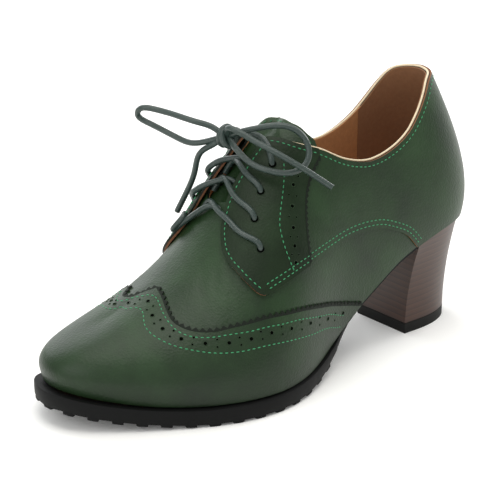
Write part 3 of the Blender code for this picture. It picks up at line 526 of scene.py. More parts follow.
def vampCreases(side, along, down):
    # soft troughs that the ball of the foot walks into the vamp
    total = np.zeros(np.shape(along))
    for middle, lean, depth, width in ((0.672, 0.05, 0.35, 0.006), (0.695, 0.03, 0.25, 0.005),
                                       (0.722, 0.06, 0.30, 0.006), (0.648, -0.03, 0.2, 0.005)):
        line = middle + lean * (np.asarray(down) - 0.45) + 0.004 * np.sin(np.asarray(down) * 19 + middle * 90)
        fade = softStep(down, 0.12, 0.3) * (1 - softStep(down, 0.62, 0.85))
        total = total - depth * mm * fade * np.exp(-((np.asarray(along) - line) / width) ** 2)
    return total


# Small makers of pieces

def addPiece(name, mesh, materials, slot, *nodes):
    piece = bpy.data.objects.new(name, mesh)
    for made in materials:
        mesh.materials.append(made)
    bpy.context.scene.collection.objects.link(piece)
    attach(piece, "root")
    if nodes:
        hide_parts(*nodes)
    return piece


def smoothMesh(name, points, faces):
    mesh = bpy.data.meshes.new(name)
    mesh.from_pydata([tuple(p) for p in points], [], [tuple(int(i) for i in f) for f in faces])
    work = bmesh.new()
    work.from_mesh(mesh)
    bmesh.ops.remove_doubles(work, verts=work.verts, dist=2e-6)
    work.to_mesh(mesh)
    work.free()
    mesh.shade_smooth()
    mesh.set_sharp_from_angle(angle=creaseAngle)
    return mesh


def evenly(points, spacing, closed=False):
    # points at even steps along a line
    points = np.asarray(points, float)
    if closed:
        points = np.vstack([points, points[:1]])
    steps = np.append(0.0, np.cumsum(np.linalg.norm(np.diff(points, axis=0), axis=1)))
    count = max(2, int(round(steps[-1] / spacing)))
    places = np.linspace(0, steps[-1], count + 1)
    line = np.stack([np.interp(places, steps, points[:, k]) for k in range(points.shape[1])], -1)
    return line[:-1] if closed else line


flatScale = np.array([halfOutline, 0.085])


def panelFlat(outline, holes, spacing):
    # a flat triangulation of a panel in the plane of along and down, with its holes cut out
    loops = [np.asarray(outline)] + [np.asarray(hole) for hole in holes]
    edgePoints = np.vstack(loops) * flatScale
    low, high = edgePoints.min(0), edgePoints.max(0)
    xs = np.arange(low[0] + spacing / 2, high[0], spacing)
    ys = np.arange(low[1] + spacing / 2, high[1], spacing)
    grid = np.stack(np.meshgrid(xs, ys, indexing="ij"), -1)
    grid[::2, :, 1] += spacing / 2
    grid = grid.reshape(-1, 2)
    near = np.empty(len(grid))
    for start in range(0, len(grid), 2000):
        block = grid[start:start + 2000]
        near[start:start + 2000] = ((block[:, None] - edgePoints[None]) ** 2).sum(-1).min(1)
    grid = grid[near > (0.62 * spacing) ** 2]
    edges, first = [], 0
    for loop in loops:
        count = len(loop)
        edges += [(first + i, first + (i + 1) % count) for i in range(count)]
        first += count
    verts = [Vector(p) for p in np.vstack([edgePoints, grid])]
    flat, _, faces, _, _, _ = delaunay_2d_cdt(verts, edges, [], 2, 1e-9)
    return np.array([tuple(p) for p in flat]) / flatScale, faces


def buildSheet(name, sides, outlineOf, holesOf, offsetOf, spacing):
    points, faces, first = [], [], 0
    for side in sides:
        flat, triangles = panelFlat(outlineOf(side), holesOf(side), spacing)
        flat[:, 1] = np.clip(flat[:, 1], 0, 1)
        places = skin(side, flat[:, 0], flat[:, 1], offsetOf(side, flat[:, 0], flat[:, 1]))
        points.append(places)
        corners = places[np.asarray(triangles)]
        lean = np.cross(corners[:, 1] - corners[:, 0], corners[:, 2] - corners[:, 0])
        ahead = np.asarray(triangles)[:, 0]
        outward = (lean * skinNormal(side, flat[ahead, 0], flat[ahead, 1])).sum() > 0
        for a, b, c in triangles:
            faces.append((first + a, first + b, first + c) if outward else (first + a, first + c, first + b))
        first += len(flat)
    return smoothMesh(name, np.vstack(points), faces)


def thicken(piece, wall, rim=None):
    # the sheet keeps its outer face and gets its wall behind it
    solid = piece.modifiers.new("wall", "SOLIDIFY")
    solid.thickness = wall
    solid.offset = -1
    solid.use_even_offset = False
    if rim is not None:
        solid.material_offset_rim = rim
    made = bpy.data.meshes.new_from_object(piece.evaluated_get(bpy.context.evaluated_depsgraph_get()))
    made.set_sharp_from_angle(angle=creaseAngle)
    piece.modifiers.clear()
    piece.data = made


def edgeLine(curve, start, end, count=60):
    places = np.linspace(start, end, count)
    return np.stack([places, np.asarray(curve(places))], -1)


def flatSteps(side, flat, steps):
    # turns small steps in metres along the skin into steps of along and down
    along, down = flat[:, 0], flat[:, 1]
    here = skin(side, along, down)
    turn = np.where(down > 0.99, -1.0, 1.0)
    du = (skin(side, along + 0.001, down) - here) / 0.001
    dv = (skin(side, along, down + turn * 0.003) - here) / (turn * 0.003)[:, None]
    a, b, c = (du * du).sum(-1), (du * dv).sum(-1), (dv * dv).sum(-1)
    p, q = (du * steps).sum(-1), (dv * steps).sum(-1)
    area = a * c - b * b
    return np.stack([(c * p - b * q) / area, (a * q - b * p) / area], -1)


def rowFrame(side, flat, offset=0.0):
    # points of a row in the frame, their directions along it and outward
    places = skin(side, flat[:, 0], flat[:, 1], offset)
    run = np.gradient(places, axis=0)
    run = run / np.maximum(np.linalg.norm(run, axis=1, keepdims=True), 1e-12)
    out = skinNormal(side, flat[:, 0], flat[:, 1])
    return places, run, out


def insetLine(side, flat, distance):
    # the same line moved over the skin, to the right of its own direction on the outer side
    _, run, out = rowFrame(side, flat)
    across = np.cross(run, out) * (1 if side > 0 else -1)
    across = across / np.linalg.norm(across, axis=1, keepdims=True)
    return flat + flatSteps(side, flat, across * np.asarray(distance).reshape(-1, 1))


def evenRow(side, flat, spacing):
    # even steps in metres along a line on the skin
    fine = evenly(np.asarray(flat) * flatScale, 0.0005) / flatScale
    world = skin(side, fine[:, 0], fine[:, 1])
    steps = np.append(0.0, np.cumsum(np.linalg.norm(np.diff(world, axis=0), axis=1)))
    count = max(2, int(round(steps[-1] / spacing)))
    places = np.linspace(0, steps[-1], count + 1)
    return np.stack([np.interp(places, steps, fine[:, k]) for k in range(2)], -1)


def roundHole(side, along, down, radius, count=18):
    # the outline of a round hole, as places on the last
    here = np.array([[along, down]])
    out = skinNormal(side, here[:, 0], here[:, 1])[0]
    first = np.cross(out, (0, 0, 1.0))
    first = first / np.linalg.norm(first)
    second = np.cross(out, first)
    turns = np.linspace(0, 2 * np.pi, count, endpoint=False)
    steps = radius * (np.cos(turns)[:, None] * first + np.sin(turns)[:, None] * second)
    return here + flatSteps(side, np.repeat(here, count, axis=0), steps)


# a dark band of painted shadow along a pinked edge: it fills the notches between the teeth and stands a little past
# them
def shadowBand(name, side, line, pitch, depth, offset, node):
    # the dark burnished teeth along a pinked edge
    teeth = pinked(line, pitch, depth, side)
    inner = insetLine(side, evenRow(side, line, pitch / 2), np.array([-pinking["band"] * np.sign(depth)]))
    inner = np.stack([np.interp(np.linspace(0, 1, len(teeth)), np.linspace(0, 1, len(inner)), inner[:, k])
                      for k in range(2)], -1)
    rows = [np.clip(row, 0, 1) for row in (teeth, inner)]
    lift = [offset(side, row[:, 0], row[:, 1]) + layer["proud"] for row in rows]
    points = np.vstack([skin(side, row[:, 0], row[:, 1], up) for row, up in zip(rows, lift)])
    count = len(teeth)
    faces = [(i, i + 1, count + i + 1, count + i) for i in range(count - 1)]
    a, b, c = (points[i] for i in faces[1][:3])
    if np.cross(b - a, c - a) @ skinNormal(side, *teeth[1:2].T)[0] < 0:
        faces = [face[::-1] for face in faces]
    piece = addPiece(name, smoothMesh(name, points, faces), [pinkedShadow], node)
    thicken(piece, pinking["bandWall"])


def pinked(line, pitch, depth, side):
    # a saw-tooth edge: even steps in millimetres, every other point drawn into the panel
    flat = evenRow(side, line, pitch / 2)
    if len(flat) % 2 == 0:
        flat = evenRow(side, line, pitch / 2 * (len(flat) - 1) / len(flat))
    depths = np.where(np.arange(len(flat)) % 2 == 1, depth, 0.0)
    return insetLine(side, flat, depths)


def tube(name, points, diameter, closed=False, sides=2):
    curve = bpy.data.curves.new(name, "CURVE")
    curve.dimensions = "3D"
    curve.bevel_depth = diameter / 2
    curve.bevel_resolution = sides
    curve.use_fill_caps = True
    spline = curve.splines.new("POLY")
    spline.points.add(len(points) - 1)
    for point, place in zip(spline.points, points):
        point.co = (*place, 1.0)
    spline.use_cyclic_u = closed
    spline.use_smooth = True
    return curve


def smoothRoute(points, spacing):
    points = np.asarray(points, float)
    knots = np.append(0.0, np.cumsum(np.linalg.norm(np.diff(points, axis=0), axis=1)))
    lines = [naturalCurve(knots, points[:, axis]) for axis in range(3)]
    places = np.linspace(0, knots[-1], max(2, int(round(knots[-1] / spacing))) + 1)
    return np.stack([line(places)[0] for line in lines], -1)


def plainMesh(source, name):
    # what the modifiers make of an object, as a plain mesh; the object goes
    bpy.context.view_layer.update()
    graph = bpy.context.evaluated_depsgraph_get()
    mesh = bpy.data.meshes.new_from_object(source.evaluated_get(graph), depsgraph=graph)
    mesh.name = name
    bpy.data.objects.remove(source, do_unlink=True)
    return mesh


# Laces and bow

bow = {
    "centre": np.array([0.1445, -0.005, 0.1200]) + lastSize["origin"],
    "size": np.array([0.0095, 0.0100, 0.0110]), "gap": 0.8 * mm, "start": 2.2 * mm, "step": 1.1 * mm,
    "leftLoop": [(4, -7, 4), (9, -12, 6), (14, -22, 8), (19, -33, 9.5), (23, -39, 9), (22.5, -41.5, 5),
                 (19, -38, 1.5), (16, -30, -1), (13, -23, -3.5), (10, -15, -5), (5.5, -8.5, -3.5)],
    "leftEnd": [(4.6, -5.2, -4.6), (7.4, -11.1, -9.4), (7.8, -15.5, -20), (9.2, -20.8, -32.2), (11.4, -25.5, -42.4)],
    "rightLoop": [(-3, 7.5, 3.5), (-8, 13, 5.5), (-14, 19, 7), (-19, 24, 6.5), (-23, 29, 2.5), (-24, 32.5, -3.5),
                  (-21.5, 34, -9), (-16.5, 33, -12.5), (-11, 29, -13.5), (-6, 23.5, -12.5), (-2, 16, -10),
                  (1, 9, -4.5)],
    "rightEnd": [(3, 4.5, 5), (-1.2, 15.1, 2.6), (-6.3, 24.6, -1.8), (-12.3, 33.1, -6.8), (-19, 40.7, -12.6),
                 (-25.6, 48.1, -18.8)],
}


def knotFace(direction, further=0.0):
    ahead = np.array(direction, float) / np.linalg.norm(direction)
    reach = 1 / np.linalg.norm(ahead / (bow["size"] / 2))
    return bow["centre"] + ahead * (reach + bow["gap"] + further)


def bowRoute(key, isLoop):
    route = bow[key]
    points = [bow["centre"] + np.array(step) * mm for step in route[1:]]
    points = [knotFace(route[0]), knotFace(route[0], bow["start"])] + points
    if isLoop:
        points = points[:-1] + [knotFace(route[-1], bow["start"]), knotFace(route[-1])]
    return smoothRoute(points, bow["step"])


def strandMesh(name, strands):
    # round cords along their routes, as one mesh
    work = bmesh.new()
    for points, closed in strands:
        carrier = bpy.data.objects.new("strand", tube("strand", points, lace["diameter"], closed, lace["sides"]))
        bpy.context.scene.collection.objects.link(carrier)
        work.from_mesh(plainMesh(carrier, "strand"))
    mesh = bpy.data.meshes.new(name)
    work.to_mesh(mesh)
    work.free()
    mesh.materials.clear()
    return mesh


def buildBow():
    # the knot is two wraps of the lace round the strands that run through it
    centre = bow["centre"]
    strands = []
    for turn, lean, wide in ((0.0, 0.1, 4.0), (0.35, -0.25, 3.6)):
        angles = np.linspace(0, 2 * np.pi, 29)[:-1]
        ring = np.stack([wide * np.cos(angles), lean * 6 * np.sin(angles) + turn * 6 - 1.0,
                         (wide + 0.7) * np.sin(angles)], -1)
        strands.append((centre + ring * mm, True))
    inside = [("leftLoop", 0, "rightLoop", 0), ("leftLoop", -1, "rightLoop", -1), ("leftEnd", 0, "rightEnd", 0)]
    for keyA, endA, keyB, endB in inside:
        a, b = knotFace(bow[keyA][endA]), knotFace(bow[keyB][endB])
        through = [a, centre + (a - centre) * 0.35, centre + (b - centre) * 0.35, b]
        strands.append((smoothRoute(through, lace["step"]), False))
    knot = addPiece("laceKnot", strandMesh("knot", strands), [cordMaterial], "lace_knot", "lace_knot")
    for key, node, isLoop in (("leftLoop", "lace_loop_left", True), ("rightLoop", "lace_loop_right", True),
                              ("leftEnd", "lace_end_left", False), ("rightEnd", "lace_end_right", False)):
        points = bowRoute(key, isLoop)
        cord = addPiece(key, tube(key, points, lace["diameter"], False, lace["sides"]), [cordMaterial], node, node)


def laceRise(side, along, down):
    # how far the middle of a lace that lies on the facing stands out of the last
    return quarterTop(side, along, down) + lace["diameter"] / 2 + 0.1 * mm


lacing = {
    # outer side: places each lace passes on its way from the hole, and where it goes under the other facing
    "near": [[(0.630, 0.320), (0.645, 0.200), (0.656, 0.080)], [(0.622, 0.200), (0.630, 0.090)],
             [(0.594, 0.170), (0.602, 0.090)]],
    "under": [(0.654, 0.040), (0.626, 0.040), (0.600, 0.040)],
    # inner side: how the lace stands off the leather before its hole, and where it crosses the facing's edge
    "bulge": [(0.661, 0.170, 4.5 * mm), (0.629, 0.180, 5.5 * mm), (0.603, 0.150, 6.0 * mm)],
    "over": [0.664, 0.632, 0.600],
    "nearHeight": 1.4 * mm, "farHeight": 2.4 * mm,
}


def intoHole(side, along, down):
    # the last stretch of a lace, from under the facing up through its hole
    under = [skin(side, along + 0.001, down + 0.01, depth) for depth in (-4.0 * mm, -1.0 * mm)]
    return under + [skin(side, along, down - 0.012, 2.2 * mm)]


def buildCrossings():
    for level in range(3):
        along, down = laceHoles[level]
        near = intoHole(1, along, down)
        for place in lacing["near"][level]:
            onFacing = place[1] > 0.09 and place[0] < 0.655
            near.append(skin(1, *place, laceRise(1, *place) if onFacing else lacing["nearHeight"] + 1.2 * mm))
        end = lacing["under"][level]
        near += [skin(-1, *end, lacing["nearHeight"] - 0.4 * mm), skin(-1, end[0] + 0.003, end[1] + 0.07, -1.3 * mm)]
        over = lacing["over"][level]
        edge = float(facingLine(over))
        far = intoHole(-1, along, down) + [
            skin(-1, *lacing["bulge"][level]), skin(-1, over, edge * 1.1, laceRise(-1, over, edge) + 0.8 * mm),
            skin(-1, over, edge * 0.35, lacing["farHeight"]), skin(1, over - 0.004, 0.030, 0.8 * mm),
            skin(1, over - 0.010, 0.080, -2.0 * mm)]
        makeCords(f"laceCrossing{level + 1}", (near, far), f"lace_crossing_{level + 1}")
    along, down = laceHoles[3]
    bars = []
    for side in (1, -1):
        edge = float(facingLine(along))
        join = knotFace((-1, side * 0.1, 0.1), -1.5 * mm)
        bars.append(intoHole(side, along, down) + [
            skin(side, along, edge, laceRise(side, along, edge) + 0.4 * mm),
            join + np.array([-1.1, side * 0.8, 0.2]) * lace["diameter"], join])
    makeCords("laceTopBars", bars, "lace_top_bars")


def makeCords(name, routes, node):
    strands = [(smoothRoute(route, lace["step"]), False) for route in routes]
    addPiece(name, strandMesh(name, strands), [cordMaterial], node, node)


buildBow()
buildCrossings()
print("laces tied")

# Upper leathers

wingRear = [(0.340, 0.992), (0.380, 0.905), (0.426, 0.830), (0.490, 0.760), (0.544, 0.712), (0.590, 0.675),
            (0.636, 0.635), (0.678, 0.588), (0.716, 0.555), (0.746, 0.510), (0.765, 0.460)]
wingEdge = {
    1: [wingRear + [(0.780, 0.400), (0.790, 0.300), (0.799, 0.170), (0.809, 0.075)],
        [(0.809, 0.075), (0.824, 0.050), (0.842, 0.020), (0.856, 0.000)]],
    -1: [wingRear + [(0.775, 0.400), (0.780, 0.320), (0.788, 0.250), (0.804, 0.215), (0.822, 0.190), (0.842, 0.155),
                     (0.856, 0.100), (0.862, 0.050), (0.856, 0.000)]],
}
seamLine = np.array([(0.214, 0.992), (0.224, 0.950), (0.244, 0.870), (0.270, 0.800), (0.302, 0.730), (0.334, 0.690),
                     (0.374, 0.660), (0.422, 0.640), (0.480, 0.620), (0.536, 0.600), (0.590, 0.583), (0.615, 0.575),
                     (0.623, 0.560), (0.640, 0.490), (0.654, 0.400), (0.664, 0.320), (0.667, 0.265)])
eyestayRear = np.array([(0.430, 0.330), (0.456, 0.362), (0.478, 0.400), (0.492, 0.450), (0.499, 0.510),
                        (0.503, 0.606)])


def smoothFlat(points, spacing=0.0012):
    # a rounded line through places on the last
    scaled = np.asarray(points) * flatScale
    knots = np.append(0.0, np.cumsum(np.linalg.norm(np.diff(scaled, axis=0), axis=1)))
    lines = [steadyCurve(knots, scaled[:, axis]) for axis in range(2)]
    places = np.linspace(0, knots[-1], max(3, int(round(knots[-1] / spacing))) + 1)
    return np.stack([line(places) for line in lines], -1) / flatScale


def footLine(start, end, spacing=0.0016, down=0.992):
    count = max(2, int(round(abs(end - start) * halfOutline / spacing)))
    return np.stack([np.linspace(start, end, count + 1), np.full(count + 1, down)], -1)


def standLine(along, start, end, spacing=0.0016):
    count = max(2, int(round(abs(end - start) * flatScale[1] / spacing)))
    return np.stack([np.full(count + 1, along), np.linspace(start, end, count + 1)], -1)


def joinLines(*lines):
    # one closed outline from lines that meet end to end
    parts = [np.asarray(line)[:-1] for line in lines]
    return np.vstack(parts)


def ridgeLine(start, end, spacing=0.0012):
    count = max(2, int(round(abs(end - start) * halfOutline / spacing)))
    return np.stack([np.linspace(start, end, count + 1), np.zeros(count + 1)], -1)


def vampOutline(side):
    collar = smoothFlat([(a, d + 0.010) for a, d in edgeLine(collarLine, 0.0, 0.535, 40)], 0.002)
    throat = edgeLine(throatLine, 0.535, 0.658, 40)
    return joinLines(collar, [collar[-1], throat[0]], throat, ridgeLine(0.658, 1.0, 0.002),
                     standLine(1.0, 0.0, 1.0, 0.002), footLine(1.0, 0.0, 0.002, 1.0),
                     standLine(0.0, 1.0, 0.085, 0.002))


pinking = {
    "pitch": 3.4 * mm, "depth": 1.7 * mm, "eyestayPitch": 2.8 * mm, "eyestayDepth": 1.1 * mm,
    "band": 0.6 * mm, "bandWall": 0.35 * mm,
}


def wingOutline(side):
    lines = []
    for part in wingEdge[side]:
        edge = pinked(smoothFlat(part), pinking["pitch"], pinking["depth"], side)
        edge[-1], edge[0] = part[-1], part[0]
        lines.append(edge)
    return joinLines(*lines, ridgeLine(0.856, 1.0, 0.002), standLine(1.0, 0.0, 0.992, 0.002),
                     footLine(1.0, 0.340, 0.002))


def quarterOutline(side):
    collar = edgeLine(collarLine, 0.0, 0.535, 160)
    facing = edgeLine(facingLine, 0.535, 0.667, 60)
    seam = smoothFlat(seamLine, 0.0015)[::-1]
    return joinLines(collar, facing, [facing[-1], seam[0]], seam, footLine(0.214, 0.0),
                     standLine(0.0, 0.992, 0.075))


def eyestayOutline(side):
    top = edgeLine(collarLine, 0.430, 0.535, 40)
    facing = edgeLine(facingLine, 0.535, 0.667, 60)
    seam = smoothFlat(seamLine, 0.0015)[::-1]
    low = seam[seam[:, 0] > 0.503]
    rear = pinked(smoothFlat(eyestayRear, 0.001)[::-1], pinking["eyestayPitch"], pinking["eyestayDepth"], side)
    return joinLines(top, facing, [facing[-1], low[0]], low, [low[-1], rear[0]], rear,
                     [rear[-1], (0.430, float(collarLine(0.430)))])


def holesIn(side):
    return [roundHole(side, along, down, lace["hole"]) for along, down in laceHoles]


def noHoles(side):
    return []


def footTuck(along, down):
    # the forepart draws in towards the welt and round the tip of the toe
    atWelt = 1.3 * mm * softStep(down, 0.78, 1.0) * softStep(along, 0.55, 0.75)
    return atWelt + 1.5 * mm * softStep(along, 0.80, 0.97)


def vampOffset(side, along, down):
    return vampCreases(side, along, down) - footTuck(along, down)


def wingFace(side, along, down):
    return layer["wing"] - footTuck(along, down)


def buildUpper():
    vamp = addPiece("vamp", buildSheet("vamp", (1, -1), vampOutline, noHoles, vampOffset, 2.4 * mm),
                    [greenLeather, darkEdge], "upper", "upper")
    thicken(vamp, layer["vampWall"], 1)
    wing = addPiece("wingCap", buildSheet("wingCap", (1, -1), wingOutline, noHoles, wingFace, 2.2 * mm),
                    [greenLeather, darkEdge], "wing_cap", "wing_cap")
    thicken(wing, layer["wingWall"], 1)
    for side, word in ((1, "Lateral"), (-1, "Medial")):
        for part, letter in zip(wingEdge[side], "AB"):
            shadowBand("pinkedWingShadow" + word + letter, side, smoothFlat(part), pinking["pitch"], pinking["depth"],
                       wingFace, "wing_cap")
    for side, word in ((1, "lateral"), (-1, "medial")):
        quarter = buildSheet("quarter", (side,), quarterOutline, holesIn, quarterTop, 2.2 * mm)
        node = "quarter_" + word
        piece = addPiece("quarter" + word.title(), quarter, [greenLeather, rawEdge], node, node)
        thicken(piece, layer["quarterWall"], 1)


buildUpper()
print("leathers laid")


def buildEyestays():
    for side, word in ((1, "lateral"), (-1, "medial")):
        sheet = buildSheet("eyestay", (side,), eyestayOutline, holesIn, eyestayTop, 2.0 * mm)
        node = "eyestay_" + word
        piece = addPiece("eyestay" + word.title(), sheet, [shadedFacingLeather, darkEdge], node, node)
        thicken(piece, layer["eyestayWall"], 1)
        shadowBand("pinkedEyestayShadow" + word.title(), side, smoothFlat(eyestayRear, 0.001)[::-1], pinking["eyestayPitch"],
                   pinking["eyestayDepth"], eyestayFace, node)


tongueShape = {
    1: {
        "top": [(0.488, 0.000), (0.486, 0.035), (0.473, 0.115), (0.456, 0.170), (0.442, 0.225), (0.430, 0.265),
                (0.428, 0.300)],
        "side": [(0.428, 0.300), (0.445, 0.335), (0.500, 0.340), (0.600, 0.340), (0.680, 0.300)],
    },
    -1: {
        "top": [(0.488, 0.000), (0.488, 0.060), (0.493, 0.115), (0.508, 0.165), (0.532, 0.215), (0.562, 0.265)],
        "side": [(0.562, 0.265), (0.590, 0.305), (0.620, 0.325), (0.680, 0.300)],
    },
    "front": [(0.680, 0.300), (0.705, 0.150), (0.710, 0.000)],
}


def tongueOutline(side):
    top, edge = (smoothFlat(tongueShape[side][key], 0.0015) for key in ("top", "side"))
    return joinLines(ridgeLine(0.710, 0.488, 0.002), top, edge, smoothFlat(tongueShape["front"], 0.0015))


def tongueFace(side, along, down):
    # it stands up at its top, a little more on the inner side, and dips along the ridge
    top = 1 - softStep(along, 0.50, 0.54)
    ridge = np.exp(-(np.asarray(down) / 0.06) ** 2)
    stand = 2.6 + (0.8 if side < 0 else 0.0) * (1 - ridge)
    return layer["tongue"] + stand * mm * top - (1.0 + 2.0 * top) * mm * ridge


def buildTongue():
    piece = addPiece("tongue", buildSheet("tongue", (1, -1), tongueOutline, noHoles, tongueFace, 1.6 * mm),
                     [greenLeather, rawEdge], "tongue", "tongue")
    thicken(piece, layer["tongueWall"], 1)


liningSeam = 0.190


def frontLining(side):
    collar = smoothFlat([(a, d - 0.004) for a, d in edgeLine(collarLine, liningSeam, 0.535, 40)], 0.002)
    front = edgeLine(throatLine, 0.535, 0.640, 30)
    return joinLines(collar, [collar[-1], front[0]], front, standLine(0.640, float(throatLine(0.640)), 1.0, 0.002),
                     footLine(0.640, liningSeam, 0.002, 1.0), standLine(liningSeam, 1.0, collar[0, 1], 0.002))


def heelLiningOutline(side):
    end = liningSeam + 0.006
    collar = smoothFlat([(a, d - 0.004) for a, d in edgeLine(collarLine, 0.0, end, 30)], 0.002)
    return joinLines(collar, standLine(end, collar[-1, 1], 1.0, 0.002), footLine(end, 0.0, 0.002, 1.0),
                     standLine(0.0, 1.0, collar[0, 1], 0.002))


def buildInside():
    for name, outline, lining, deeper in (("lining", frontLining, pigLining, 0.0),
                                          ("heelLining", heelLiningOutline, heelLining, 0.45 * mm)):
        sheet = buildSheet(name, (1, -1), outline, noHoles,
                           lambda s, a, d: layer["liningTop"] - deeper - footTuck(a, d), 2.4 * mm)
        thicken(addPiece(name, sheet, [lining], "insole"), layer["liningWall"])
    rounds = []
    for side, places in ((1, np.linspace(0.535, 0.0, 90)), (-1, np.linspace(0.0, 0.535, 90)[1:])):
        rounds.append(skin(side, places, collarLine(places) - 0.006, -0.6 * mm))
    curve = tube("collarBinding", smoothRoute(np.vstack(rounds), 2.0 * mm), 1.15 * mm, False, 2)
    addPiece("collarBinding", curve, [creamBinding], "insole")


# Repeats: stitches, punched holes and tread lugs, by geometry nodes

def groupInput(tree, name, kind, value):
    socket = tree.interface.new_socket(name=name, in_out="INPUT", socket_type=kind)
    if value is not None:
        socket.default_value = value
    return socket.identifier


def startTree(name, inputs):
    tree = bpy.data.node_groups.new(name, "GeometryNodeTree")
    keys = {"Geometry": groupInput(tree, "Geometry", "NodeSocketGeometry", None)}
    for key, (kind, value) in inputs.items():
        keys[key] = groupInput(tree, key, kind, value)
    tree.interface.new_socket(name="Geometry", in_out="OUTPUT", socket_type="NodeSocketGeometry")
    source = tree.nodes.new("NodeGroupInput")
    end = tree.nodes.new("NodeGroupOutput")
    return tree, keys, source, end


def placeInstances(tree, source, instance):
    # one instance on each point, its X along the row and its Z out of the leather
    along = addNode(tree, "GeometryNodeInputNamedAttribute", {"data_type": "FLOAT_VECTOR", "Name": "axisAlong"})
    out = addNode(tree, "GeometryNodeInputNamedAttribute", {"data_type": "FLOAT_VECTOR", "Name": "axisOut"})
    grow = addNode(tree, "GeometryNodeInputNamedAttribute", {"data_type": "FLOAT_VECTOR", "Name": "grow"})
    turn = addNode(tree, "FunctionNodeAxesToRotation", {"primary_axis": "Z", "secondary_axis": "X"})
    tree.links.new(out.outputs["Attribute"], turn.inputs[0])
    tree.links.new(along.outputs["Attribute"], turn.inputs[1])
    put = addNode(tree, "GeometryNodeInstanceOnPoints", links={
        "Points": source.outputs["Geometry"], "Instance": instance, "Rotation": turn.outputs["Rotation"],
        "Scale": grow.outputs["Attribute"]})
    return addNode(tree, "GeometryNodeRealizeInstances", links={"Geometry": put.outputs["Instances"]})


def stitchTree():
    tree, keys, source, end = startTree("stitches", {
        "Stitch Length": ("NodeSocketFloat", 2.0 * mm), "Stitch Width": ("NodeSocketFloat", 0.7 * mm),
        "Stitch Height": ("NodeSocketFloat", 0.5 * mm), "Thread": ("NodeSocketMaterial", None)})
    ball = addNode(tree, "GeometryNodeMeshUVSphere", {"Segments": 6, "Rings": 4, "Radius": 0.5})
    lengths = addNode(tree, "ShaderNodeCombineXYZ", links={
        axis: source.outputs["Stitch " + word] for axis, word in (("X", "Length"), ("Y", "Width"), ("Z", "Height"))})
    shape = addNode(tree, "GeometryNodeTransform",
                    links={"Geometry": ball.outputs["Mesh"], "Scale": lengths.outputs["Vector"]})
    real = placeInstances(tree, source, shape.outputs["Geometry"])
    smooth = addNode(tree, "GeometryNodeSetShadeSmooth", links={"Geometry": real.outputs["Geometry"]})
    paint = addNode(tree, "GeometryNodeSetMaterial", links={
        "Geometry": smooth.outputs["Geometry"], "Material": source.outputs["Thread"]})
    tree.links.new(paint.outputs["Geometry"], end.inputs["Geometry"])
    return tree, keys


def holeTree():
    tree, keys, source, end = startTree("punched holes", {
        "Hole Radius": ("NodeSocketFloat", 1.0 * mm), "Rim": ("NodeSocketFloat", 0.14 * mm),
        "Floor": ("NodeSocketMaterial", None), "Leather": ("NodeSocketMaterial", None)})
    ring = addNode(tree, "GeometryNodeCurvePrimitiveCircle", {"Resolution": 14},
                   {"Radius": source.outputs["Hole Radius"]})
    section = addNode(tree, "GeometryNodeCurvePrimitiveCircle", {"Resolution": 6}, {"Radius": source.outputs["Rim"]})
    rim = addNode(tree, "GeometryNodeCurveToMesh",
                  links={"Curve": ring.outputs["Curve"], "Profile Curve": section.outputs["Curve"]})
    rimPaint = addNode(tree, "GeometryNodeSetMaterial",
                       links={"Geometry": rim.outputs["Mesh"], "Material": source.outputs["Leather"]})
    disc = addNode(tree, "GeometryNodeMeshCircle", {"fill_type": "NGON", "Vertices": 14},
                   {"Radius": source.outputs["Hole Radius"]})
    discPaint = addNode(tree, "GeometryNodeSetMaterial",
                        links={"Geometry": disc.outputs["Mesh"], "Material": source.outputs["Floor"]})
    both = addNode(tree, "GeometryNodeJoinGeometry")
    tree.links.new(rimPaint.outputs["Geometry"], both.inputs["Geometry"])
    tree.links.new(discPaint.outputs["Geometry"], both.inputs["Geometry"])
    real = placeInstances(tree, source, both.outputs["Geometry"])
    tree.links.new(real.outputs["Geometry"], end.inputs["Geometry"])
    return tree, keys


def lugTree():
    tree, keys, source, end = startTree("tread lugs", {
        "Lug Width": ("NodeSocketFloat", 5.8 * mm), "Lug Reach": ("NodeSocketFloat", 8.5 * mm),
        "Lug Height": ("NodeSocketFloat", 2.6 * mm), "Rubber": ("NodeSocketMaterial", None)})
    block = addNode(tree, "GeometryNodeMeshCube", {"Size": (1.0, 1.0, 1.0)})
    soft = addNode(tree, "GeometryNodeSubdivisionSurface", {"Level": 2, "Edge Crease": 0.78},
                   {"Mesh": block.outputs["Mesh"]})
    sizes = addNode(tree, "ShaderNodeCombineXYZ", links={
        "X": source.outputs["Lug Width"], "Y": source.outputs["Lug Reach"], "Z": source.outputs["Lug Height"]})
    shape = addNode(tree, "GeometryNodeTransform",
                    links={"Geometry": soft.outputs["Mesh"], "Scale": sizes.outputs["Vector"]})
    real = placeInstances(tree, source, shape.outputs["Geometry"])
    paint = addNode(tree, "GeometryNodeSetMaterial",
                    links={"Geometry": real.outputs["Geometry"], "Material": source.outputs["Rubber"]})
    tree.links.new(paint.outputs["Geometry"], end.inputs["Geometry"])
    return tree, keys


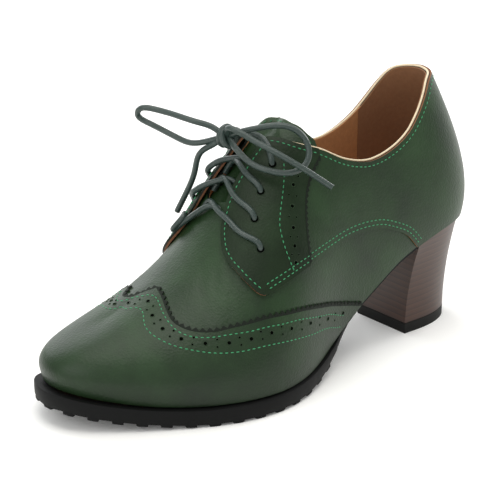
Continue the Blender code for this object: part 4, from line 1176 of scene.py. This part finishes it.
def repeatOn(name, rows, treeAndKeys, settings, slot):
    # rows: list of (places, directions along, directions out, sizes)
    tree, keys = treeAndKeys
    places = np.vstack([row[0] for row in rows])
    mesh = bpy.data.meshes.new(name)
    mesh.from_pydata([tuple(p) for p in places], [], [])
    for attribute, column in (("axisAlong", 1), ("axisOut", 2), ("grow", 3)):
        data = mesh.attributes.new(attribute, "FLOAT_VECTOR", "POINT")
        data.data.foreach_set("vector", np.vstack([row[column] for row in rows]).astype(np.float32).ravel())
    carrier = bpy.data.objects.new(name, mesh)
    bpy.context.scene.collection.objects.link(carrier)
    nodes = carrier.modifiers.new("repeat", "NODES")
    nodes.node_group = tree
    for key, value in settings.items():
        nodes[keys[key]] = value
    made = plainMesh(carrier, name)
    for attribute in ("axisAlong", "axisOut", "grow"):
        if attribute in made.attributes:
            made.attributes.remove(made.attributes[attribute])
    piece = bpy.data.objects.new(name, made)
    bpy.context.scene.collection.objects.link(piece)
    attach(piece, "root")
    return piece


def ones(count):
    return np.ones((count, 3))


wingTopRear = [(0.392, 0.925), (0.436, 0.850), (0.498, 0.785), (0.550, 0.737), (0.598, 0.702), (0.644, 0.662),
               (0.688, 0.612), (0.724, 0.580), (0.754, 0.535)]
wingLowRear = [(0.400, 0.960), (0.448, 0.885), (0.520, 0.825), (0.574, 0.785), (0.618, 0.755), (0.652, 0.730),
               (0.700, 0.690), (0.726, 0.660), (0.758, 0.610), (0.785, 0.555), (0.808, 0.490), (0.824, 0.430)]
sewing = {
    "pitch": 2.7 * mm, "length": 1.8 * mm, "width": 0.58 * mm, "height": 0.45 * mm,
    "seamRows": (2.0 * mm, 4.4 * mm), "edgeRow": 2.2 * mm, "collarRow": 2.4 * mm,
    "wingTop": {
        1: wingTopRear + [(0.776, 0.470), (0.790, 0.390), (0.801, 0.290), (0.808, 0.200), (0.816, 0.140),
                          (0.828, 0.100), (0.858, 0.040), (0.874, 0.000)],
        -1: wingTopRear + [(0.774, 0.470), (0.786, 0.390), (0.793, 0.310), (0.802, 0.265), (0.820, 0.235),
                           (0.840, 0.210), (0.858, 0.170), (0.872, 0.115), (0.879, 0.060), (0.874, 0.000)],
    },
    "wingLow": {
        1: wingLowRear + [(0.836, 0.360), (0.840, 0.300), (0.842, 0.240), (0.852, 0.170), (0.874, 0.115),
                          (0.900, 0.065), (0.912, 0.000)],
        -1: wingLowRear + [(0.836, 0.370), (0.848, 0.310), (0.866, 0.250), (0.888, 0.180), (0.905, 0.100),
                           (0.914, 0.050), (0.912, 0.000)],
    },
    "eyestayFront": [(0.520, 0.250), (0.530, 0.300), (0.544, 0.345), (0.556, 0.380), (0.564, 0.420), (0.563, 0.470),
                     (0.557, 0.530), (0.550, 0.580)],
}


def stitchRow(side, flat, lift):
    flat = evenRow(side, flat, sewing["pitch"])
    middle = (flat[:-1] + flat[1:]) / 2
    offset = lift(side, middle[:, 0], middle[:, 1]) if callable(lift) else lift
    places, run, out = rowFrame(side, middle, offset)
    return places, run, out, ones(len(places))


def buildStitches():
    tree = stitchTree()
    green, dark = [], []
    for side in (1, -1):
        seam = smoothFlat(seamLine, 0.002)
        back = seam[seam[:, 0] <= 0.612]
        for row in sewing["seamRows"]:
            line = insetLine(side, back, np.full(len(back), row))
            line = line[line[:, 1] < 0.97]
            rear = line[line[:, 0] < 0.500]
            front = line[line[:, 0] >= 0.500]
            green.append(stitchRow(side, rear, quarterFace))
            green.append(stitchRow(side, front, eyestayFace))
        edge = np.vstack([edgeLine(facingLine, 0.540, 0.667, 40), seam[::-1][seam[::-1][:, 0] > 0.618]])
        line = insetLine(side, evenRow(side, edge, 1.0 * mm), np.array([-sewing["edgeRow"]]))
        green.append(stitchRow(side, line[2:-2], eyestayFace))
        collar = evenRow(side, edgeLine(collarLine, 0.005, 0.530, 80), 1.0 * mm)
        line = insetLine(side, collar, np.array([-sewing["collarRow"]]))
        rear, front = line[line[:, 0] < 0.432], line[line[:, 0] >= 0.432]
        green.append(stitchRow(side, rear, quarterFace))
        green.append(stitchRow(side, front, eyestayFace))
        green.append(stitchRow(side, smoothFlat(sewing["eyestayFront"], 0.002), eyestayFace))
        for row in ("wingTop", "wingLow"):
            green.append(stitchRow(side, smoothFlat(sewing[row][side], 0.002), wingFace))
        top = insetLine(side, evenRow(side, smoothFlat(tongueShape[side]["top"]), 1.0 * mm), np.array([2.2 * mm]))
        top = top[top[:, 1] > 0.01]
        dark.append(stitchRow(side, top, lambda s, a, d: tongueFace(s, a, d) + layer["proud"]))
    sizes = {"Stitch Length": sewing["length"], "Stitch Width": sewing["width"], "Stitch Height": sewing["height"]}
    repeatOn("stitches", green, tree, {**sizes, "Thread": sewingThread}, "quarter_lateral")
    repeatOn("tongueStitches", dark, tree, {**sizes, "Thread": darkThread}, "tongue")


wingHolesRear = [(0.396, 0.910), (0.452, 0.845), (0.516, 0.785), (0.570, 0.745), (0.614, 0.713), (0.652, 0.685),
                 (0.690, 0.650), (0.730, 0.605), (0.770, 0.530)]
punching = {
    "largeRadius": 1.0 * mm, "smallRadius": 0.55 * mm, "eyeletRadius": 2.0 * mm,
    "largeRim": 0.16 * mm, "smallRim": 0.12 * mm, "eyeletRim": 0.15 * mm,
    "wingSpread": 1.75 * mm, "eyestaySpread": 1.9 * mm,
    # large holes of each row, from the rear; a pair of small ones stands between each two
    "wing": {
        1: wingHolesRear + [(0.802, 0.420), (0.822, 0.290), (0.832, 0.150), (0.892, 0.015)],
        -1: wingHolesRear + [(0.800, 0.430), (0.822, 0.320), (0.850, 0.225), (0.880, 0.130)],
    },
    "eyestay": [(0.543, 0.560), (0.539, 0.512), (0.534, 0.460), (0.526, 0.400), (0.512, 0.345), (0.494, 0.300)],
}


def holeRows(side, spots, spread, lift, large, small):
    flat = np.array(spots)
    between = (flat[:-1] + flat[1:]) / 2
    for line, shifts, into in ((flat, (0.0,), large), (between, (-spread, spread), small)):
        for shift in shifts:
            moved = insetLine(side, line, np.array([shift]))
            offset = lift(side, moved[:, 0], moved[:, 1])
            places, run, out = rowFrame(side, moved, offset)
            into.append((places, run, out, ones(len(places))))


def buildHoles():
    tree = holeTree()
    large, small, eyelets = [], [], []
    for side in (1, -1):
        holeRows(side, punching["wing"][side], punching["wingSpread"],
                 lambda s, a, d: wingFace(s, a, d) + 0.04 * mm, large, small)
        holeRows(side, punching["eyestay"], punching["eyestaySpread"],
                 lambda s, a, d: eyestayFace(s, a, d) - 0.01 * mm, large, small)
        holes = np.array(laceHoles)
        places, run, out = rowFrame(side, holes, eyestayFace(side, holes[:, 0], holes[:, 1]) - 0.01 * mm)
        eyelets.append((places, run, out, ones(len(places))))
    for name, rows, kind, leather, slot in (("laceEyelets", eyelets, "eyelet", shadedFacingLeather, "eyestay_lateral"),
                                            ("brogueHoles", large, "large", greenLeather, "wing_cap"),
                                            ("brogueDots", small, "small", greenLeather, "wing_cap")):
        repeatOn(name, rows, tree, {"Hole Radius": punching[kind + "Radius"], "Rim": punching[kind + "Rim"],
                                    "Floor": holeShade, "Leather": leather}, slot)


# Bottom: insole, outsole, heel and tip

bottom = {
    "edge": 2.6 * mm, "tuck": 1.2 * mm, "gap": 0.3 * mm, "seat": 46 * mm, "lugDepth": 1.2 * mm,
    "lugPitch": 11.4 * mm, "lugShift": 1.5 * mm, "lugWidth": 5.8 * mm, "lugReach": 8.5 * mm, "lugHeight": 2.6 * mm,
    "treadStart": 0.455, "heelWidth": 37.6 * mm, "heelDepth": 41 * mm, "tip": 5.5 * mm, "insole": 2.4 * mm,
    "inside": 2.4 * mm, "heelSwell": 1.8, "heelStations": 1.15,
}
# shares along the last: how thick the sole is, and how far it stands out past the upper
soleThick = [(0.160, 0.300), (0.330, 0.300), (0.372, 0.340), (0.400, 0.520), (0.430, 0.760), (0.470, 0.930),
             (0.540, 1.0), (1.0, 1.0)]
soleStand = [(0.160, 0.0), (0.330, 0.0), (0.372, 0.1), (0.400, 0.5), (0.430, 0.9), (0.470, 1.0), (1.0, 1.0)]


def featherFrame(place):
    here = lastPoint(place, 1.0)
    run = lastPoint(place + 0.003, 1.0) - lastPoint(place - 0.003, 1.0)
    run = run / np.linalg.norm(run, axis=-1, keepdims=True)
    outward = np.stack([-run[..., 1], run[..., 0], np.zeros_like(run[..., 0])], -1)
    return here, run, outward / np.linalg.norm(outward, axis=-1, keepdims=True)


def alongAt(x, side=1):
    alongs = np.linspace(0, 1, 801)
    return float(np.interp(x, lastPoint(placeRound(side, alongs), 1.0)[:, 0], alongs))


def shareAt(table, x):
    return np.interp(np.asarray(x) / lastSize["length"], [row[0] for row in table], [row[1] for row in table])


def outlinePair(alongs, inset):
    # outer and inner points of the feather line at each station
    pair = []
    for side in (1, -1):
        here, _, outward = featherFrame(placeRound(side, np.asarray(alongs)))
        pair.append(here - outward * np.asarray(inset(here[:, 0])).reshape(-1, 1))
    return pair


def soleBottom(x):
    x = np.minimum(x, lastSize["length"])
    return featherHeight(x) - lastSize["soleHeight"] * shareAt(soleThick, x)


def stackLevels(name, levels):
    # levels from the top down; each is (outer points, inner points), back to front
    count = len(levels[0][0])
    points, faces = [], []
    for outer, inner in levels:
        points += list(outer) + list(inner)
    ring = list(range(count)) + [2 * count - 1 - i for i in range(count)]
    size = 2 * count
    for k in range(len(levels) - 1):
        for i in range(size):
            a, b = ring[i] + k * size, ring[(i + 1) % size] + k * size
            faces.append((a, b, b + size, a + size))
    last = (len(levels) - 1) * size
    for i in range(count - 1):
        faces.append((i, count + i, count + i + 1, i + 1))
        faces.append((last + i, last + i + 1, last + count + i + 1, last + count + i))
    mesh = bpy.data.meshes.new(name)
    mesh.from_pydata([tuple(np.asarray(p) + lastSize["origin"]) for p in points], [], faces)
    work = bmesh.new()
    work.from_mesh(mesh)
    bmesh.ops.remove_doubles(work, verts=work.verts, dist=2e-6)
    bmesh.ops.dissolve_degenerate(work, dist=1e-7, edges=work.edges)
    bmesh.ops.recalc_face_normals(work, faces=work.faces)
    work.to_mesh(mesh)
    work.free()
    mesh.shade_smooth()
    mesh.set_sharp_from_angle(angle=math.radians(35))
    return mesh


def atHeight(points, height):
    moved = points.copy()
    moved[:, 2] = height
    return moved


def buildSole():
    back = bottom["seat"] + bottom["gap"]
    start = alongAt(back)
    stations = start + (1 - start) * np.linspace(0, 1, 150)

    def level(extra, drop):
        pair = outlinePair(stations, lambda x: bottom["tuck"] * (1 - shareAt(soleStand, x))
                           - bottom["edge"] * shareAt(soleStand, x) + extra)
        made = []
        for line in pair:
            line[0, 0] = back
            top = featherHeight(np.minimum(line[:, 0], lastSize["length"])) - bottom["gap"]
            low = soleBottom(line[:, 0]) + bottom["lugDepth"] * shareAt(soleStand, line[:, 0])
            made.append(atHeight(line, top + (low - top) * drop))
        return made

    levels = [level(0.9 * mm, 0.0), level(0.25 * mm, 0.03), level(0.0, 0.13), level(0.0, 0.5), level(0.1 * mm, 0.85),
              level(0.5 * mm, 1.0)]
    addPiece("outsole", stackLevels("outsole", levels), [blackRubber], "outsole", "outsole")
    first = alongAt(bottom["treadStart"] * lastSize["length"])
    inner = first + (1 - first) * np.linspace(0, 1, 90)

    def treadLevel(deep):
        pair = outlinePair(inner, lambda x: np.full(np.shape(x), bottom["lugReach"] - 2 * bottom["edge"]))
        return [atHeight(line, soleBottom(line[:, 0]) + (1 - deep) * bottom["lugDepth"] + 0.2 * mm * (1 - deep))
                for line in pair]

    addPiece("treadPlate", stackLevels("treadPlate", [treadLevel(0.0), treadLevel(1.0)]), [blackRubber], "outsole")
    rows = []
    for side in (1, -1):
        alongs = np.linspace(1.0, alongAt(bottom["treadStart"] * lastSize["length"], side), 400)
        line = lastPoint(placeRound(side, alongs), 1.0)
        lengths = np.append(0.0, np.cumsum(np.linalg.norm(np.diff(line, axis=0), axis=1)))
        lugs = np.arange(0 if side > 0 else 1, int(lengths[-1] / bottom["lugPitch"]) + 1)
        places = lugs * bottom["lugPitch"] + bottom["lugShift"] * side
        here, run, outward = featherFrame(placeRound(side, np.interp(places, lengths, alongs)))
        up = np.cross(run, outward)
        up = up * np.sign(up[:, 2:3])
        base = here.copy()
        base[:, 2] = soleBottom(here[:, 0])
        outer = bottom["edge"] - 0.3 * mm - bottom["lugReach"] / 2
        centre = base + outward * outer + up * (bottom["lugHeight"] / 2)
        rows.append((centre + lastSize["origin"], run, up, ones(len(centre))))
    repeatOn("treadLugs", rows, lugTree(), {"Lug Width": bottom["lugWidth"], "Lug Reach": bottom["lugReach"],
                                            "Lug Height": bottom["lugHeight"], "Rubber": blackRubber}, "outsole")


def buildHeel():
    end = alongAt(bottom["seat"])
    stations = end * np.linspace(0, 1, 60) ** bottom["heelStations"]
    outer, inner = outlinePair(stations, lambda x: np.full(np.shape(x), bottom["gap"]))
    for line in (outer, inner):
        line[-1, 0] = bottom["seat"]
    wide = [abs(float(lastPoint(placeRound(side, end), 1.0)[1])) for side in (1, -1)]
    top = [atHeight(line, featherHeight(line[:, 0]) - bottom["gap"]) for line in (outer, inner)]

    def low(line, width, height):
        moved = line.copy()
        moved[:, 0] = bottom["seat"] - (bottom["seat"] - line[:, 0]) * bottom["heelDepth"] / bottom["seat"]
        moved[:, 1] = line[:, 1] * bottom["heelWidth"] / 2 / width
        moved[:, 2] = height
        return moved

    base = [low(line, width, bottom["tip"] + bottom["gap"]) for line, width in zip(top, wide)]
    levels = []
    for share in np.linspace(1, 0, 20):
        blend = share ** bottom["heelSwell"]
        made = []
        for high, down in zip(top, base):
            mixed = high * blend + down * (1 - blend)
            mixed[:, 2] = high[:, 2] * share + down[:, 2] * (1 - share)
            made.append(mixed)
        levels.append(made)
    heel = addPiece("heel", stackLevels("heel", levels), [heelStack], "heel", "heel")
    tipLevels = [[low(line, width, height) for line, width in zip(top, wide)] for height in (bottom["tip"], 0.0)]
    tip = addPiece("heelTip", stackLevels("heelTip", tipLevels), [tipRubber], "heel_tip", "heel_tip")
    for piece, size in ((heel, 0.5), (tip, 0.4)):
        soft = piece.modifiers.new("edges", "BEVEL")
        soft.width = size * mm
        soft.segments = 2
        soft.limit_method = "ANGLE"
        soft.angle_limit = creaseAngle


def buildInsole():
    stations = np.linspace(0, 1, 130)
    pair = outlinePair(stations, lambda x: bottom["inside"] + 3.2 * mm * softStep(x / lastSize["length"], 0.55, 0.95))
    levels = [[atHeight(line, featherHeight(line[:, 0]) + height) for line in pair]
              for height in (bottom["insole"], 0.0)]
    addPiece("sock", stackLevels("sock", levels), [pigLining], "insole", "insole")


buildEyestays()
buildTongue()
buildInside()
print("inside lined")
buildSole()
buildHeel()
buildInsole()
print("bottom built")
buildStitches()
buildHoles()
print("stitched and punched")
